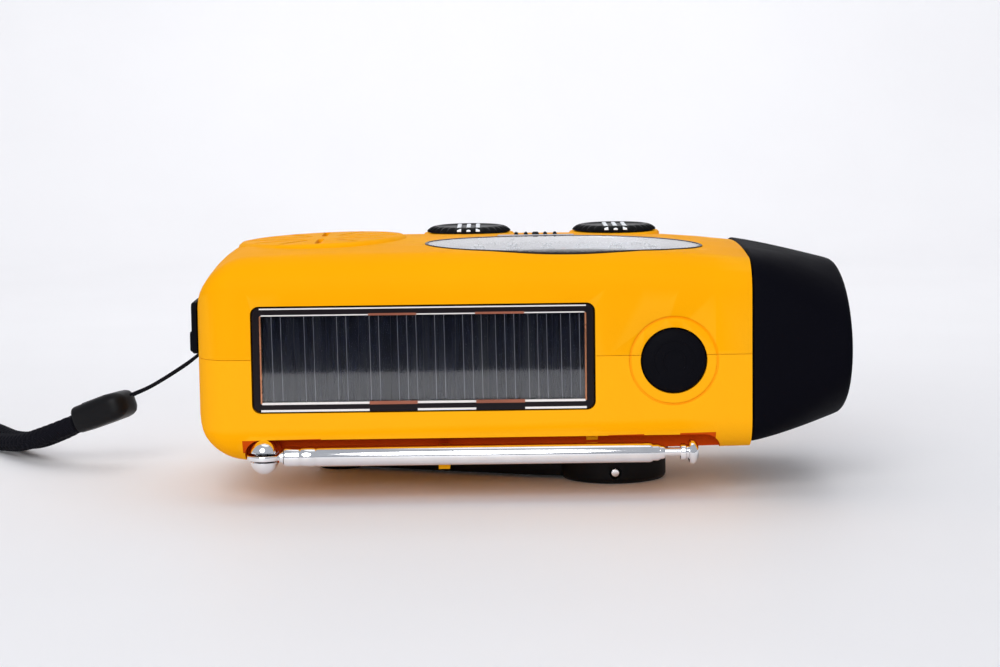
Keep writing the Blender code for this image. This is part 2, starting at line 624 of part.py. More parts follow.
def build_gears():
    nylon = material("gear_nylon", (0.85, 0.85, 0.8), 0.4)
    gear("drive_gear", (CRANK_X, MID), DRIVE_TEETH, 2.4, 14.6, 17.4, IDLER_ANGLE, nylon)
    facing = IDLER_ANGLE + math.pi
    place = idler_place()
    idler = gear("idler_gear", place, IDLER_TEETH, 1.4, 18.0, 20.4, ROTOR_ANGLE, nylon)
    half = math.pi / IDLER_PINION
    add(idler, gear("idler_pinion", place, IDLER_PINION, 1.4, 14.2, 18.4, facing + half, nylon))
    x, y = place
    solid("idler_axle", *rod((x, y, 0), 1.0, 12.7, 23.4, segments=12), steel(), (x, y, 12.7))
    x, y = rotor_place()
    rotor = gear("generator_rotor", (x, y), ROTOR_TEETH, 0.9, 17.6, 21.0, ROTOR_ANGLE + math.pi
                 + math.pi / ROTOR_TEETH, material("magnet_grey", (0.12, 0.12, 0.13), 0.5))
    drum = [(0, 14.2), (1.1, 14.2), (1.1, 20.6), (2.2, 20.6), (2.2, 25.5), (9.5, 25.5), (9.5, 33.5),
            (1.1, 33.5),
            (1.1, 36.5), (0, 36.5)]
    add(rotor, solid("rotor_drum", *turned(drum, (x, y, 0), segments=24)))
    can = [(12.5, 24.2), (12.5, 36.0), (1.5, 36.0), (1.5, 34.6), (11.0, 34.6), (11.0, 24.2)]
    solid("generator_housing", *turned(can, (x, y, 0), segments=28, hollow=True), steel())
    plate = solid("gear_plate", *block(-32.0, 38.0, -22.0, 15.0, 21.9, 23.1), steel())
    cut(plate, solid("plate_shaft_hole", *rod((CRANK_X, MID, 0), 2.4, 20, 25)))
    cut(plate, solid("plate_rotor_hole", *rod((x, y, 0), 3.2, 20, 25)))
    ix, iy = idler_place()
    cut(plate, solid("plate_axle_hole", *rod((ix, iy, 0), 1.3, 20, 25, segments=12)))


def build_crank(black):
    axis = (CRANK_X, MID, 0)
    profile = [(0, 0), (12.6, 0), (HUB_R, 1.0), (HUB_R, HUB_TOP), (0, HUB_TOP)]
    hub = solid("crank_hub", *turned(profile, axis, segments=28), black, axis)
    half = ARM_W / 2 + 0.4
    cut(hub, solid("arm_slot", *block(CRANK_X - 20, CRANK_X + 20, MID - half, MID + half, -1, 6.0)))
    pin = (CRANK_X, MID, PIN_Z)
    cut(hub, solid("hub_pin_hole", *rod(pin, PIN_R + GAP, -20, 20, "Y", 12)))
    cut(hub, solid("hub_shaft_hole", *rod(axis, 2.4, 6.6, 12, segments=16)))
    solid("crank_pin", *rod(pin, PIN_R, -12.9, 12.9, "Y", 12, 0.3), steel(), pin)
    solid("crank_shaft", *rod(axis, 2.0, 7.0, 24.5, segments=16), steel(), axis)
    end = (*ARM_END, 0)
    arm = solid("crank_arm", *slab(arm_outline(), (0, 0), ARM_LOW, ARM_TOP), black, pin)
    add(arm, solid("arm_eye", *rod(pin, ARM_EYE_R, -ARM_W / 2, ARM_W / 2, "Y", 24)))
    add(arm, solid("arm_boss", *rod(end, KNOB_R_LOW, 0.0, ARM_TOP - 0.4, segments=28)))
    cut(arm, solid("arm_pin_hole", *rod(pin, PIN_R + GAP, -8, 8, "Y", 12)))
    cut(arm, solid("arm_knob_hole", *rod(end, 1.5, -1, 8, segments=12)))
    foot = ARM_TOP + GAP
    grip = [(1.5, foot), (KNOB_R_LOW - 0.4, foot), (KNOB_R_LOW + 0.4, foot + 0.9),
            (KNOB_R_LOW, KNOB_TOP - 0.6),
            (KNOB_R_LOW - 0.8, KNOB_TOP), (3.0, KNOB_TOP), (3.0, KNOB_TOP - 1.2), (1.5, KNOB_TOP - 1.2)]
    solid("crank_knob", *turned(grip, end, segments=24, hollow=True), black, (*ARM_END, foot))
    screw = [(0, 0.6), (1.2, 0.6), (1.2, KNOB_TOP - 0.9), (2.5, KNOB_TOP - 0.9), (2.5, KNOB_TOP - 0.2),
             (0, KNOB_TOP - 0.2)]
    solid("crank_knob_screw", *turned(screw, end, segments=12), steel(), end)


def arm_outline():
    """The arm seen from above: straight out of the hub's slot, then bent towards the back of the case."""
    end = Vector(ARM_END)
    bend = Vector((ARM_BEND, MID))
    along = (end - bend).normalized()
    side = Vector((-along.y, along.x)) * (ARM_W / 2 - 0.4)
    half = Vector((0, -ARM_W / 2))
    hub = Vector((CRANK_X, MID))
    near = [hub + half, bend + half + Vector((-0.8, 0)), end + side]
    far = [end - side, bend - half + Vector((0.8, 0)), hub - half]
    return [tuple(p) for p in near + far]


def build_speaker(black):
    metal = steel()
    at = (SPEAKER_X, MID, 0)
    frame = [(18.6, 53.6), (18.6, 52.6), (16.6, 52.6), (10.5, 44.2), (10.5, 43.0), (8.2, 43.0), (8.2, 44.8),
             (15.4, 53.0), (15.4, 53.6)]
    solid("speaker_frame", *turned(frame, at, segments=20, hollow=True), metal)
    cone = [(0, 51.8), (4.0, 51.2), (5.0, 49.8), (14.6, 54.6), (14.9, 54.0), (7.6, 46.4), (7.6, 43.6),
            (0, 43.6)]
    solid("speaker_cone", *turned(cone, at, segments=20), material("cone_paper", (0.02, 0.02, 0.02), 0.8))
    solid("speaker_magnet", *rod(at, 11.0, 36.5, 42.6, segments=20), metal)


def build_electronics(black):
    green = material("board_green", (0.03, 0.25, 0.12), 0.45)
    solid("circuit_board", *block(-20.5, 40.5, -29.0, 33.0, 44.0, 45.6), green)
    ferrite = material("ferrite", (0.06, 0.055, 0.05), 0.6)
    rod_y, rod_z = -24.0, 36.5
    solid("ferrite_rod", *rod((0, rod_y, rod_z), 4.0, -44, 12, "X", 12), ferrite)
    copper = material("copper_wire", (0.6, 0.25, 0.1), 0.35, 0.8)
    solid("antenna_coil", *tube((0, rod_y, rod_z), 5.3, 4.3, -20, -2, "X", 16), copper)
    earphone = solid("earphone_jack", *block(LEFT + 2.6, LEFT + 10.4, -21.5, -15.0, 36.4, 43.6), black)
    cut(earphone, solid("jack_bore", *rod((0, -18.2, 40.0), 1.8, LEFT, LEFT + 12, "X", 16)))
    charging = solid("charging_jack", *block(LEFT + 2.6, LEFT + 11, -13.0, -7.5, 37.6, 42.0), steel())
    cut(charging, solid("usb_mouth", *block(LEFT, LEFT + 9, -12.2, -8.3, 38.4, 41.2)))


def build_port_cover():
    rubber = material("cover_rubber", (0.015, 0.015, 0.016), 0.7)
    outline = round_rectangle(10.5, 6.0, 1.5, 3)
    centre = (-15.5, 40.4)
    hinge = (LEFT - 0.9, -4.6, centre[1])
    cover = solid("port_cover", *slab(outline, centre, LEFT - 1.5, LEFT - 0.3, "X"), rubber, hinge)
    nub = slab(round_rectangle(2.2, 2.4, 0.8, 2), (-22.0, 37.1), LEFT - 2.15, LEFT - 1.0, "X")
    add(cover, solid("cover_nub", *nub))


def smooth_path(points, count):
    """Points evenly spaced along a Catmull-Rom curve through the given ones."""
    knots = [Vector(p) for p in points]
    knots = [2 * knots[0] - knots[1]] + knots + [2 * knots[-1] - knots[-2]]
    fine = []
    for i in range(1, len(knots) - 2):
        a, b, c, d = knots[i - 1:i + 3]
        for k in range(24):
            t = k / 24
            fine.append(0.5 * (2 * b + (c - a) * t + (2 * a - 5 * b + 4 * c - d) * t * t
                               + (3 * b - a - 3 * c + d) * t ** 3))
    fine.append(knots[-2])
    lengths = [0.0]
    for p, q in zip(fine, fine[1:]):
        lengths.append(lengths[-1] + (q - p).length)
    path, j = [], 0
    for k in range(count):
        wanted = lengths[-1] * k / (count - 1)
        while j < len(fine) - 2 and lengths[j + 1] < wanted:
            j += 1
        share = (wanted - lengths[j]) / max(lengths[j + 1] - lengths[j], 1e-9)
        path.append(fine[j].lerp(fine[j + 1], min(share, 1.0)))
    return path


def cord(name, route, count, radius, look):
    curve = bpy.data.curves.new(name, "CURVE")
    curve.dimensions = "3D"
    curve.bevel_depth = radius * MM
    curve.bevel_resolution = 2
    curve.use_fill_caps = True
    line = curve.splines.new("POLY")
    path = smooth_path(route, count)
    line.points.add(count - 1)
    for spot, place in zip(line.points, path):
        spot.co = (*(place * MM), 1.0)
    curve.materials.append(look)
    made = bpy.data.objects.new(name, curve)
    bpy.context.scene.collection.objects.link(made)
    return made


STRING_ROUTE = [
    (-97.4, 19.6, 18.9), (-91, 15.0, 22.0), (-82, 8.2, 27.8), (-75.5, 3.6, 32.6), (-72.6, 2.35, 34.3),
    (-70.9, 2.7, 34.7), (-70.15, 4.0, 34.8), (-70.9, 5.3, 34.7), (-72.6, 5.8, 34.3), (-75.8, 6.6, 32.4),
    (-82, 10.4, 27.4), (-91, 17.0, 21.6), (-97.0, 21.4, 18.5)]
CORD_ROUTE = [
    (-112.6, 29.3, 10.2), (-117, 32.5, 7.9), (-124.5, 40.5, 4.6), (-133, 53.5, 2.6), (-141, 68, 2.35),
    (-150, 83, 2.35), (-163, 95, 2.35), (-179, 99, 2.35), (-194, 93, 2.35), (-202, 79, 2.35),
    (-199, 64, 2.35), (-187, 54, 2.35), (-172, 51, 2.35), (-158, 53.5, 2.35), (-147, 54.5, 2.35),
    (-138, 50.0, 2.6), (-128.8, 37.2, 4.4), (-120.6, 28.6, 7.6), (-112.0, 24.3, 11.2)]


def build_strap(black):
    x, y, z = PIN_AT
    solid("strap_pin", *rod((x, y, 0), 1.0, 28.5, 40.9, segments=12), steel())
    braid = material("strap_braid", (0.012, 0.012, 0.013), 0.8)
    cord("strap_string", STRING_ROUTE, 40, STRING_R, braid)
    cord("strap_cord", CORD_ROUTE, 40, CORD_R, braid)
    start, end = Vector(BEAD_FROM), Vector(BEAD_TO)
    along = (end - start).normalized()
    side = along.cross(Vector((0, 0, 1))).normalized()
    up = side.cross(along)
    rings = []
    for share, scale in ((0.02, 0.72), (0.1, 0.93), (0.5, 1.0), (0.9, 0.93), (0.98, 0.76)):
        middle = start.lerp(end, share)
        rings.append([tuple(middle + side * a * scale + up * b * scale) for a, b in ellipse(5.4, 3.5, 20)])
    solid("strap_bead", *loft(rings), black, BEAD_FROM)


def main():
    clean()
    orange = material("case_orange", (0.95, 0.38, 0.01), 0.38)
    black = material("black_plastic", (0.012, 0.012, 0.014), 0.4)
    matte = material("head_black", (0.014, 0.014, 0.016), 0.6)
    clear = material("clear_plastic", (0.85, 0.88, 0.9), 0.05, 0.0, 0.35)
    build_case(orange)
    build_head(matte, clear)
    build_solar(clear)
    build_button(black)
    build_dial(clear)
    build_knobs(black)
    build_antenna()
    build_gears()
    build_crank(black)
    build_speaker(black)
    build_electronics(black)
    build_port_cover()
    build_strap(black)


main()
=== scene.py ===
"""Looks of the hand-crank emergency radio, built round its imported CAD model.

The frame is in metres with +Z up. Lengths here are millimetres, and piece()
turns them into metres. Places come from the CAD nodes' own boxes.
"""

import math

import bmesh
import bpy
from mathutils import Matrix, Vector


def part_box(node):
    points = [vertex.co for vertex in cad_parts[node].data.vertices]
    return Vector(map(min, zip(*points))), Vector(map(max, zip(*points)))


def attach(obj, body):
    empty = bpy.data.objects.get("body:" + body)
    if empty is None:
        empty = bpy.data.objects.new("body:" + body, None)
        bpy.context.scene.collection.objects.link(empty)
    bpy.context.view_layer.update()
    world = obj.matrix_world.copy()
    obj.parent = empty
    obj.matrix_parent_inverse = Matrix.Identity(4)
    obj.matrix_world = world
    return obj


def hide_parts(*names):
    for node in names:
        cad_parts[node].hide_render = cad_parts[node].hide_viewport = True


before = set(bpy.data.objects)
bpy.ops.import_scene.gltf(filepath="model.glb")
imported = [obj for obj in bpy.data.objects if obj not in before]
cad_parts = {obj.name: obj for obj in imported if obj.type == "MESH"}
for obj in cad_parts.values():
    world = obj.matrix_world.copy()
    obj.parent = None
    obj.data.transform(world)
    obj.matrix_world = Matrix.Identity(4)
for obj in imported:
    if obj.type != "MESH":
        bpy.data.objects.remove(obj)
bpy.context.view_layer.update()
MM = 0.001


def low(node):
    return [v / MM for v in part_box(node)[0]]


def high(node):
    return [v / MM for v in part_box(node)[1]]


def middle(node):
    return [(a + b) / 2 for a, b in zip(low(node), high(node))]


# ---------------- materials

def shader(name, colour, roughness, metallic=0.0):
    """A new material and its node tree, shader, and object coordinates in millimetres."""
    made = bpy.data.materials.new(name)
    made.use_nodes = True
    tree = made.node_tree
    node = tree.nodes["Principled BSDF"]
    node.inputs["Base Color"].default_value = (*colour, 1)
    node.inputs["Roughness"].default_value = roughness
    node.inputs["Metallic"].default_value = metallic
    where = tree.nodes.new("ShaderNodeTexCoord")
    scale = tree.nodes.new("ShaderNodeVectorMath")
    scale.operation = "SCALE"
    scale.inputs["Scale"].default_value = 1000.0
    tree.links.new(where.outputs["Object"], scale.inputs[0])
    return made, tree, node, scale.outputs["Vector"]


def noise(tree, vector, scale, detail=3.0, rough=0.5):
    made = tree.nodes.new("ShaderNodeTexNoise")
    made.inputs["Scale"].default_value = scale
    made.inputs["Detail"].default_value = detail
    made.inputs["Roughness"].default_value = rough
    tree.links.new(vector, made.inputs["Vector"])
    return made.outputs["Fac"]


def ramp(tree, value, stops):
    made = tree.nodes.new("ShaderNodeValToRGB")
    while len(made.color_ramp.elements) < len(stops):
        made.color_ramp.elements.new(0.5)
    for element, (place, colour) in zip(made.color_ramp.elements, stops):
        element.position = place
        element.color = (*colour, 1)
    tree.links.new(value, made.inputs["Fac"])
    return made.outputs["Color"]


def span(tree, value, start, end):
    """A value from 0..1 turned into start..end."""
    made = tree.nodes.new("ShaderNodeMapRange")
    made.inputs["To Min"].default_value = start
    made.inputs["To Max"].default_value = end
    tree.links.new(value, made.inputs["Value"])
    return made.outputs["Result"]


def bump(tree, node, height, strength, distance):
    made = tree.nodes.new("ShaderNodeBump")
    made.inputs["Strength"].default_value = strength
    made.inputs["Distance"].default_value = distance * MM
    tree.links.new(height, made.inputs["Height"])
    tree.links.new(made.outputs["Normal"], node.inputs["Normal"])


def stretched(tree, where, shares):
    """Coordinates with each axis scaled by its own share."""
    made = tree.nodes.new("ShaderNodeVectorMath")
    made.operation = "MULTIPLY"
    made.inputs[1].default_value = shares
    tree.links.new(where, made.inputs[0])
    return made.outputs["Vector"]


def worn_edges(tree, amount):
    """1 on sharp edges and 0 elsewhere."""
    geometry = tree.nodes.new("ShaderNodeNewGeometry")
    made = tree.nodes.new("ShaderNodeMapRange")
    made.inputs["From Min"].default_value = 0.52
    made.inputs["From Max"].default_value = 0.62
    made.inputs["To Max"].default_value = amount
    tree.links.new(geometry.outputs["Pointiness"], made.inputs["Value"])
    return made.outputs["Result"]


def plastic(name, colour, roughness, grain=2.2, depth=0.02, vary=0.05, wear=0.12, gloss=0.5):
    """Moulded plastic: slow colour drift, fine grain, and lighter edges."""
    made, tree, node, where = shader(name, colour, roughness)
    slow = noise(tree, where, 0.035, 2.0)
    dark = tuple(c * (1 - vary) for c in colour)
    light = tuple(min(c * (1 + vary), 1.0) for c in colour)
    base = ramp(tree, slow, ((0.3, dark), (0.7, light)))
    mix = tree.nodes.new("ShaderNodeMix")
    mix.data_type = "RGBA"
    edge = tuple(min(c * 1.25 + 0.03, 1.0) for c in colour)
    mix.inputs["B"].default_value = (*edge, 1)
    tree.links.new(worn_edges(tree, wear), mix.inputs["Factor"])
    tree.links.new(base, mix.inputs["A"])
    tree.links.new(mix.outputs["Result"], node.inputs["Base Color"])
    smear = noise(tree, where, 0.12, 4.0, 0.6)
    tree.links.new(span(tree, smear, roughness * 0.82, min(roughness * 1.18, 1.0)),
                   node.inputs["Roughness"])
    bump(tree, node, noise(tree, where, grain, 2.0), 0.35, depth)
    node.inputs["Specular IOR Level"].default_value = gloss
    return made


def metal(name, colour, roughness, stretch=(0.2, 6.0, 6.0), depth=0.004):
    """Plated or bare metal with fine drawing lines along X and soft smudges."""
    made, tree, node, where = shader(name, colour, roughness, 1.0)
    lines = noise(tree, stretched(tree, where, stretch), 1.0, 2.0)
    smear = noise(tree, where, 0.2, 4.0, 0.6)
    tree.links.new(span(tree, smear, roughness * 0.6, roughness * 1.5), node.inputs["Roughness"])
    bump(tree, node, lines, 0.2, depth)
    tint = tuple(c * 0.93 for c in colour)
    tree.links.new(ramp(tree, smear, ((0.35, tint), (0.65, colour))), node.inputs["Base Color"])
    return made


def clear_plastic(name, tint, roughness=0.03, ior=1.49):
    made, tree, node, where = shader(name, tint, roughness)
    node.inputs["Transmission Weight"].default_value = 1.0
    node.inputs["IOR"].default_value = ior
    haze = noise(tree, where, 0.3, 4.0, 0.6)
    tree.links.new(span(tree, haze, roughness * 0.4, roughness * 1.8), node.inputs["Roughness"])
    return made


def fabric(name, colour, pitch):
    """Braided nylon: fine thread lines over the braid's own shape."""
    made, tree, node, where = shader(name, colour, 0.75)
    wave = tree.nodes.new("ShaderNodeTexWave")
    wave.bands_direction = "DIAGONAL"
    wave.inputs["Scale"].default_value = 1.0 / pitch
    wave.inputs["Distortion"].default_value = 2.0
    tree.links.new(where, wave.inputs["Vector"])
    light = tuple(c * 2.2 + 0.002 for c in colour)
    tree.links.new(ramp(tree, wave.outputs["Fac"], ((0.2, colour), (0.9, light))),
                   node.inputs["Base Color"])
    bump(tree, node, wave.outputs["Fac"], 0.5, 0.08)
    node.inputs["Specular IOR Level"].default_value = 0.05
    return made


ORANGE = plastic("case_orange", (0.96, 0.395, 0.0010), 0.55, 3.0, 0.012, 0.02, 0.2, 0.02)
HEAD = plastic("head_black", (0.0035, 0.0035, 0.006), 0.55, 1.6, 0.05, 0.08, 0.01, 0.012)
GLOSS = plastic("gloss_black", (0.006, 0.006, 0.007), 0.32, 4.0, 0.006, 0.1, 0.02, 0.03)
RUBBER = plastic("button_rubber", (0.004, 0.004, 0.006), 0.5, 2.4, 0.04, 0.1, 0.01, 0.02)
CRANK = plastic("crank_black", (0.006, 0.006, 0.007), 0.42, 2.2, 0.03, 0.1, 0.02, 0.12)
CHROME = metal("chrome", (0.90, 0.90, 0.92), 0.075)
STEEL = metal("plated_steel", (0.62, 0.62, 0.64), 0.28)
CLEAR = clear_plastic("clear_plastic", (0.97, 0.98, 1.0))
BORDER = plastic("window_border", (0.010, 0.007, 0.009), 0.25, 5.0, 0.006, 0.1, 0.0, 0.12)
# Painted shade: the darker red orange for the inside of the aerial's groove.
GROOVE_SHADE = plastic("groove_painted_shade", (0.58, 0.065, 0.003), 0.6, 3.0, 0.012, 0.05, 0.0, 0.02)
# Painted highlight: pale colour for the lines along the solar window's frame.
RIM_HIGHLIGHT = plastic("rim_painted_highlight", (0.80, 0.76, 0.74), 0.3, 5.0, 0.003, 0.05, 0.0, 0.3)
BROWN = plastic("tab_brown", (0.30, 0.10, 0.06), 0.3, 1.2, 0.05, 0.25, 0.0, 0.2)
COPPER = metal("copper_line", (0.72, 0.30, 0.16), 0.25)
SILVER_LINE = metal("grid_silver", (0.30, 0.30, 0.33), 0.35)
DIAL = metal("dial_silver", (0.50, 0.52, 0.57), 0.42, (6.0, 0.2, 6.0), 0.003)
# White for the dial's print, also used for the painted highlights on the knobs.
WHITE = plastic("print_and_knob_highlight_white", (0.85, 0.87, 0.9), 0.5, grain=6.0, depth=0.004, vary=0.03)
RED = plastic("pointer_red", (0.55, 0.02, 0.015), 0.35)
BRAID = fabric("strap_braid", (0.003, 0.003, 0.005), 0.7)
GREEN = plastic("board_green", (0.02, 0.17, 0.07), 0.4, grain=1.2, depth=0.03, vary=0.2)
NYLON = plastic("gear_nylon", (0.75, 0.75, 0.68), 0.42, vary=0.04)
CREAM = plastic("component_plastic", (0.62, 0.58, 0.48), 0.5, vary=0.06)
SLEEVE = plastic("battery_sleeve", (0.02, 0.13, 0.06), 0.25, grain=0.6, depth=0.1, vary=0.1)
DARK = plastic("dark_component", (0.03, 0.03, 0.032), 0.6, grain=1.5, depth=0.06, vary=0.2)
PAPER = plastic("cone_paper", (0.012, 0.012, 0.012), 0.85, grain=1.1, depth=0.12, vary=0.3)
WIRE = metal("copper_wire", (0.62, 0.24, 0.10), 0.3, (8.0, 0.5, 0.5), 0.06)
MIRROR = metal("reflector_silver", (0.92, 0.92, 0.93), 0.06)
LED = clear_plastic("led_epoxy", (0.95, 0.97, 1.0), 0.05)


def cell_material():
    """Dark silicon with faint upright bands, as between crystals."""
    made, tree, node, where = shader("solar_cell", (0.004, 0.006, 0.016), 0.12)
    bands = noise(tree, stretched(tree, where, (1.0, 0.05, 0.03)), 0.55, 4.0, 0.7)
    colours = ((0.35, (0.002, 0.003, 0.010)), (0.5, (0.008, 0.010, 0.022)), (0.7, (0.022, 0.024, 0.026)))
    tree.links.new(ramp(tree, bands, colours), node.inputs["Base Color"])
    bump(tree, node, bands, 0.05, 0.004)
    return made


CELL = cell_material()


# ---------------- mesh tools

BOX_FACES = ((0, 1, 2, 3), (7, 6, 5, 4), (0, 4, 5, 1), (1, 5, 6, 2), (2, 6, 7, 3), (3, 7, 4, 0))


def piece(name, points, faces, look, body="root", smooth=35, slot=None):
    """A piece from points in millimetres, riding on a body."""
    mesh = bpy.data.meshes.new(name)
    mesh.from_pydata([Vector(p) * MM for p in points], [], faces)
    shape = bmesh.new()
    shape.from_mesh(mesh)
    bmesh.ops.recalc_face_normals(shape, faces=shape.faces)
    shape.to_mesh(mesh)
    shape.free()
    made = bpy.data.objects.new(name, mesh)
    bpy.context.scene.collection.objects.link(made)
    mesh.materials.append(look)
    soften(made, smooth)
    if body:
        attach(made, body)
    return made


def soften(made, degrees=35):
    made.data.shade_smooth()
    made.data.set_sharp_from_angle(angle=math.radians(degrees))


def guide(name, points, faces):
    """A cutter, removed once it is used."""
    return piece(name, points, faces, DARK, body=None)


def carve(target, tools, operation="DIFFERENCE"):
    """Booleans with each tool in turn, applied, and the tools removed."""
    for tool in tools:
        step = target.modifiers.new("carve", "BOOLEAN")
        step.operation = operation
        step.solver = "EXACT"
        step.object = tool
    flatten(target)
    for tool in tools:
        bpy.data.objects.remove(tool, do_unlink=True)


def flatten(target):
    """Applies the modifiers to the mesh."""
    deps = bpy.context.evaluated_depsgraph_get()
    deps.update()
    mesh = bpy.data.meshes.new_from_object(target.evaluated_get(deps))
    target.modifiers.clear()
    target.data = mesh


def round_edges(target, width, segments=2, angle=50):
    step = target.modifiers.new("round", "BEVEL")
    step.width = width * MM
    step.segments = segments
    step.limit_method = "ANGLE"
    step.angle_limit = math.radians(angle)
    step.use_clamp_overlap = True
    flatten(target)
    soften(target, 40)


def loft(rings, close=False):
    count = len(rings[0])
    points = [p for ring in rings for p in ring]
    faces = []
    if not close:
        faces = [list(range(count)), list(range(len(points) - count, len(points)))]
    for i in range(len(rings) if close else len(rings) - 1):
        n = (i + 1) % len(rings)
        for j in range(count):
            k = (j + 1) % count
            faces.append([i * count + j, i * count + k, n * count + k, n * count + j])
    return points, faces


def turned(profile, centre, axis="Z", segments=64, hollow=False):
    """A round body; profile is (radius, distance along the axis)."""
    points, faces, rows = [], [], []
    for radius, along in profile:
        row = []
        for k in range(segments if radius > 0 else 1):
            turn = 2 * math.pi * (k + 0.5) / segments
            a, b = radius * math.cos(turn), radius * math.sin(turn)
            local = {"X": (along, a, b), "Y": (b, along, a), "Z": (a, b, along)}[axis]
            row.append(len(points))
            points.append(tuple(c + d for c, d in zip(centre, local)))
        rows.append(row)
    pairs = list(zip(rows, rows[1:]))
    if hollow:
        pairs.append((rows[-1], rows[0]))
    for down, up in pairs:
        for k in range(segments):
            n = (k + 1) % segments
            face = [down[k % len(down)], down[n % len(down)], up[n % len(up)], up[k % len(up)]]
            face = list(dict.fromkeys(face))
            if len(face) > 2:
                faces.append(face)
    return points, faces


def plain(radius, start, end):
    """The profile of a straight round bar."""
    return [(0, start), (radius, start), (radius, end), (0, end)]


def bore(name, centre, radius, start, end, axis, segments=32):
    """A round cutter."""
    return guide(name, *turned(plain(radius, start, end), centre, axis, segments))


def fillet(profile, radius, steps=4):
    """A turned profile with its corners rounded."""
    out = [profile[0]]
    for before, here, after in zip(profile, profile[1:], profile[2:]):
        here, to, fro = Vector(here), Vector(after), Vector(before)
        reach = min(radius, (to - here).length * 0.45, (fro - here).length * 0.45)
        start = here + (fro - here).normalized() * reach
        end = here + (to - here).normalized() * reach
        for k in range(steps + 1):
            t = k / steps
            spot = start * (1 - t) ** 2 + here * 2 * t * (1 - t) + end * t * t
            out.append((max(spot.x, 0.0), spot.y))
    return out + [profile[-1]]


def round_rectangle(half_a, half_b, radius, steps=8):
    points = []
    for corner, (sa, sb) in enumerate(((1, 1), (-1, 1), (-1, -1), (1, -1))):
        for k in range(steps + 1):
            turn = math.pi / 2 * (corner + k / steps)
            points.append((sa * (half_a - radius) + radius * math.cos(turn),
                           sb * (half_b - radius) + radius * math.sin(turn)))
    return points


def ellipse(half_a, half_b, steps=96):
    turns = [2 * math.pi * k / steps for k in range(steps)]
    return [(half_a * math.cos(t), half_b * math.sin(t)) for t in turns]


def placed(outline, centre, along, axis):
    if axis == "Z":
        return [(centre[0] + a, centre[1] + b, along) for a, b in outline]
    if axis == "Y":
        return [(centre[0] + a, along, centre[1] + b) for a, b in outline]
    return [(along, centre[0] + a, centre[1] + b) for a, b in outline]


def slab(outline, centre, start, end, axis="Z"):
    return loft([placed(outline, centre, along, axis) for along in (start, end)])


def block(x0, x1, y0, y1, z0, z1):
    return slab([(x0, y0), (x1, y0), (x1, y1), (x0, y1)], (0, 0), z0, z1)


def join(parts, name):
    """Several pieces made one object."""
    mesh = bmesh.new()
    looks = []
    for part in parts:
        start = len(mesh.faces)
        mesh.from_mesh(part.data)
        mesh.faces.ensure_lookup_table()
        for face in mesh.faces[start:]:
            face.material_index += len(looks)
        looks += list(part.data.materials)
    made = parts[0].copy()
    made.data = bpy.data.meshes.new(name)
    for look in looks:
        made.data.materials.append(look)
    mesh.to_mesh(made.data)
    mesh.free()
    made.name = name
    bpy.context.scene.collection.objects.link(made)
    for part in parts:
        bpy.data.objects.remove(part, do_unlink=True)
    return made


# ---------------- camera and stage

LENS, SENSOR = 86.6, 36.0
CAMERA_AT, CAMERA_TILT, CAMERA_ROLL = (-4.35, -579.5, 101.4), math.radians(6.5), 0.0131


def build_camera():
    """Level with the radio's upper half, in front of its long side."""
    data = bpy.data.cameras.new("camera")
    data.lens = LENS
    data.sensor_width = SENSOR
    data.clip_start = 0.01
    made = bpy.data.objects.new("camera", data)
    bpy.context.scene.collection.objects.link(made)
    made.matrix_world = (Matrix.Translation(Vector(CAMERA_AT) * MM)
                         @ Matrix.Rotation(math.pi / 2 - CAMERA_TILT, 4, "X")
                         @ Matrix.Rotation(-CAMERA_ROLL, 4, "Z"))
    bpy.context.scene.camera = made


LIGHTS = (
    # name, place, size, watts, aimed at
    ("key", (80, 60, 900), 900, 1.5, (0, 0, 0)),
    ("fill", (-250, -1000, 560), 800, 8.3, (0, 0, 30)),
    ("back", (0, 500, 700), 900, 2.3, (0, 900, 250)),
)
STAGE_NEAR, STAGE_FAR, STAGE_SIDE, STAGE_BEND, STAGE_TOP = -270.0, 900.0, 1500.0, 300.0, 1500.0
DARK_ROOM, PALE_ROOM, ROOM_STRENGTH = (0.045, 0.05, 0.065), (0.88, 0.92, 1.0), 0.5


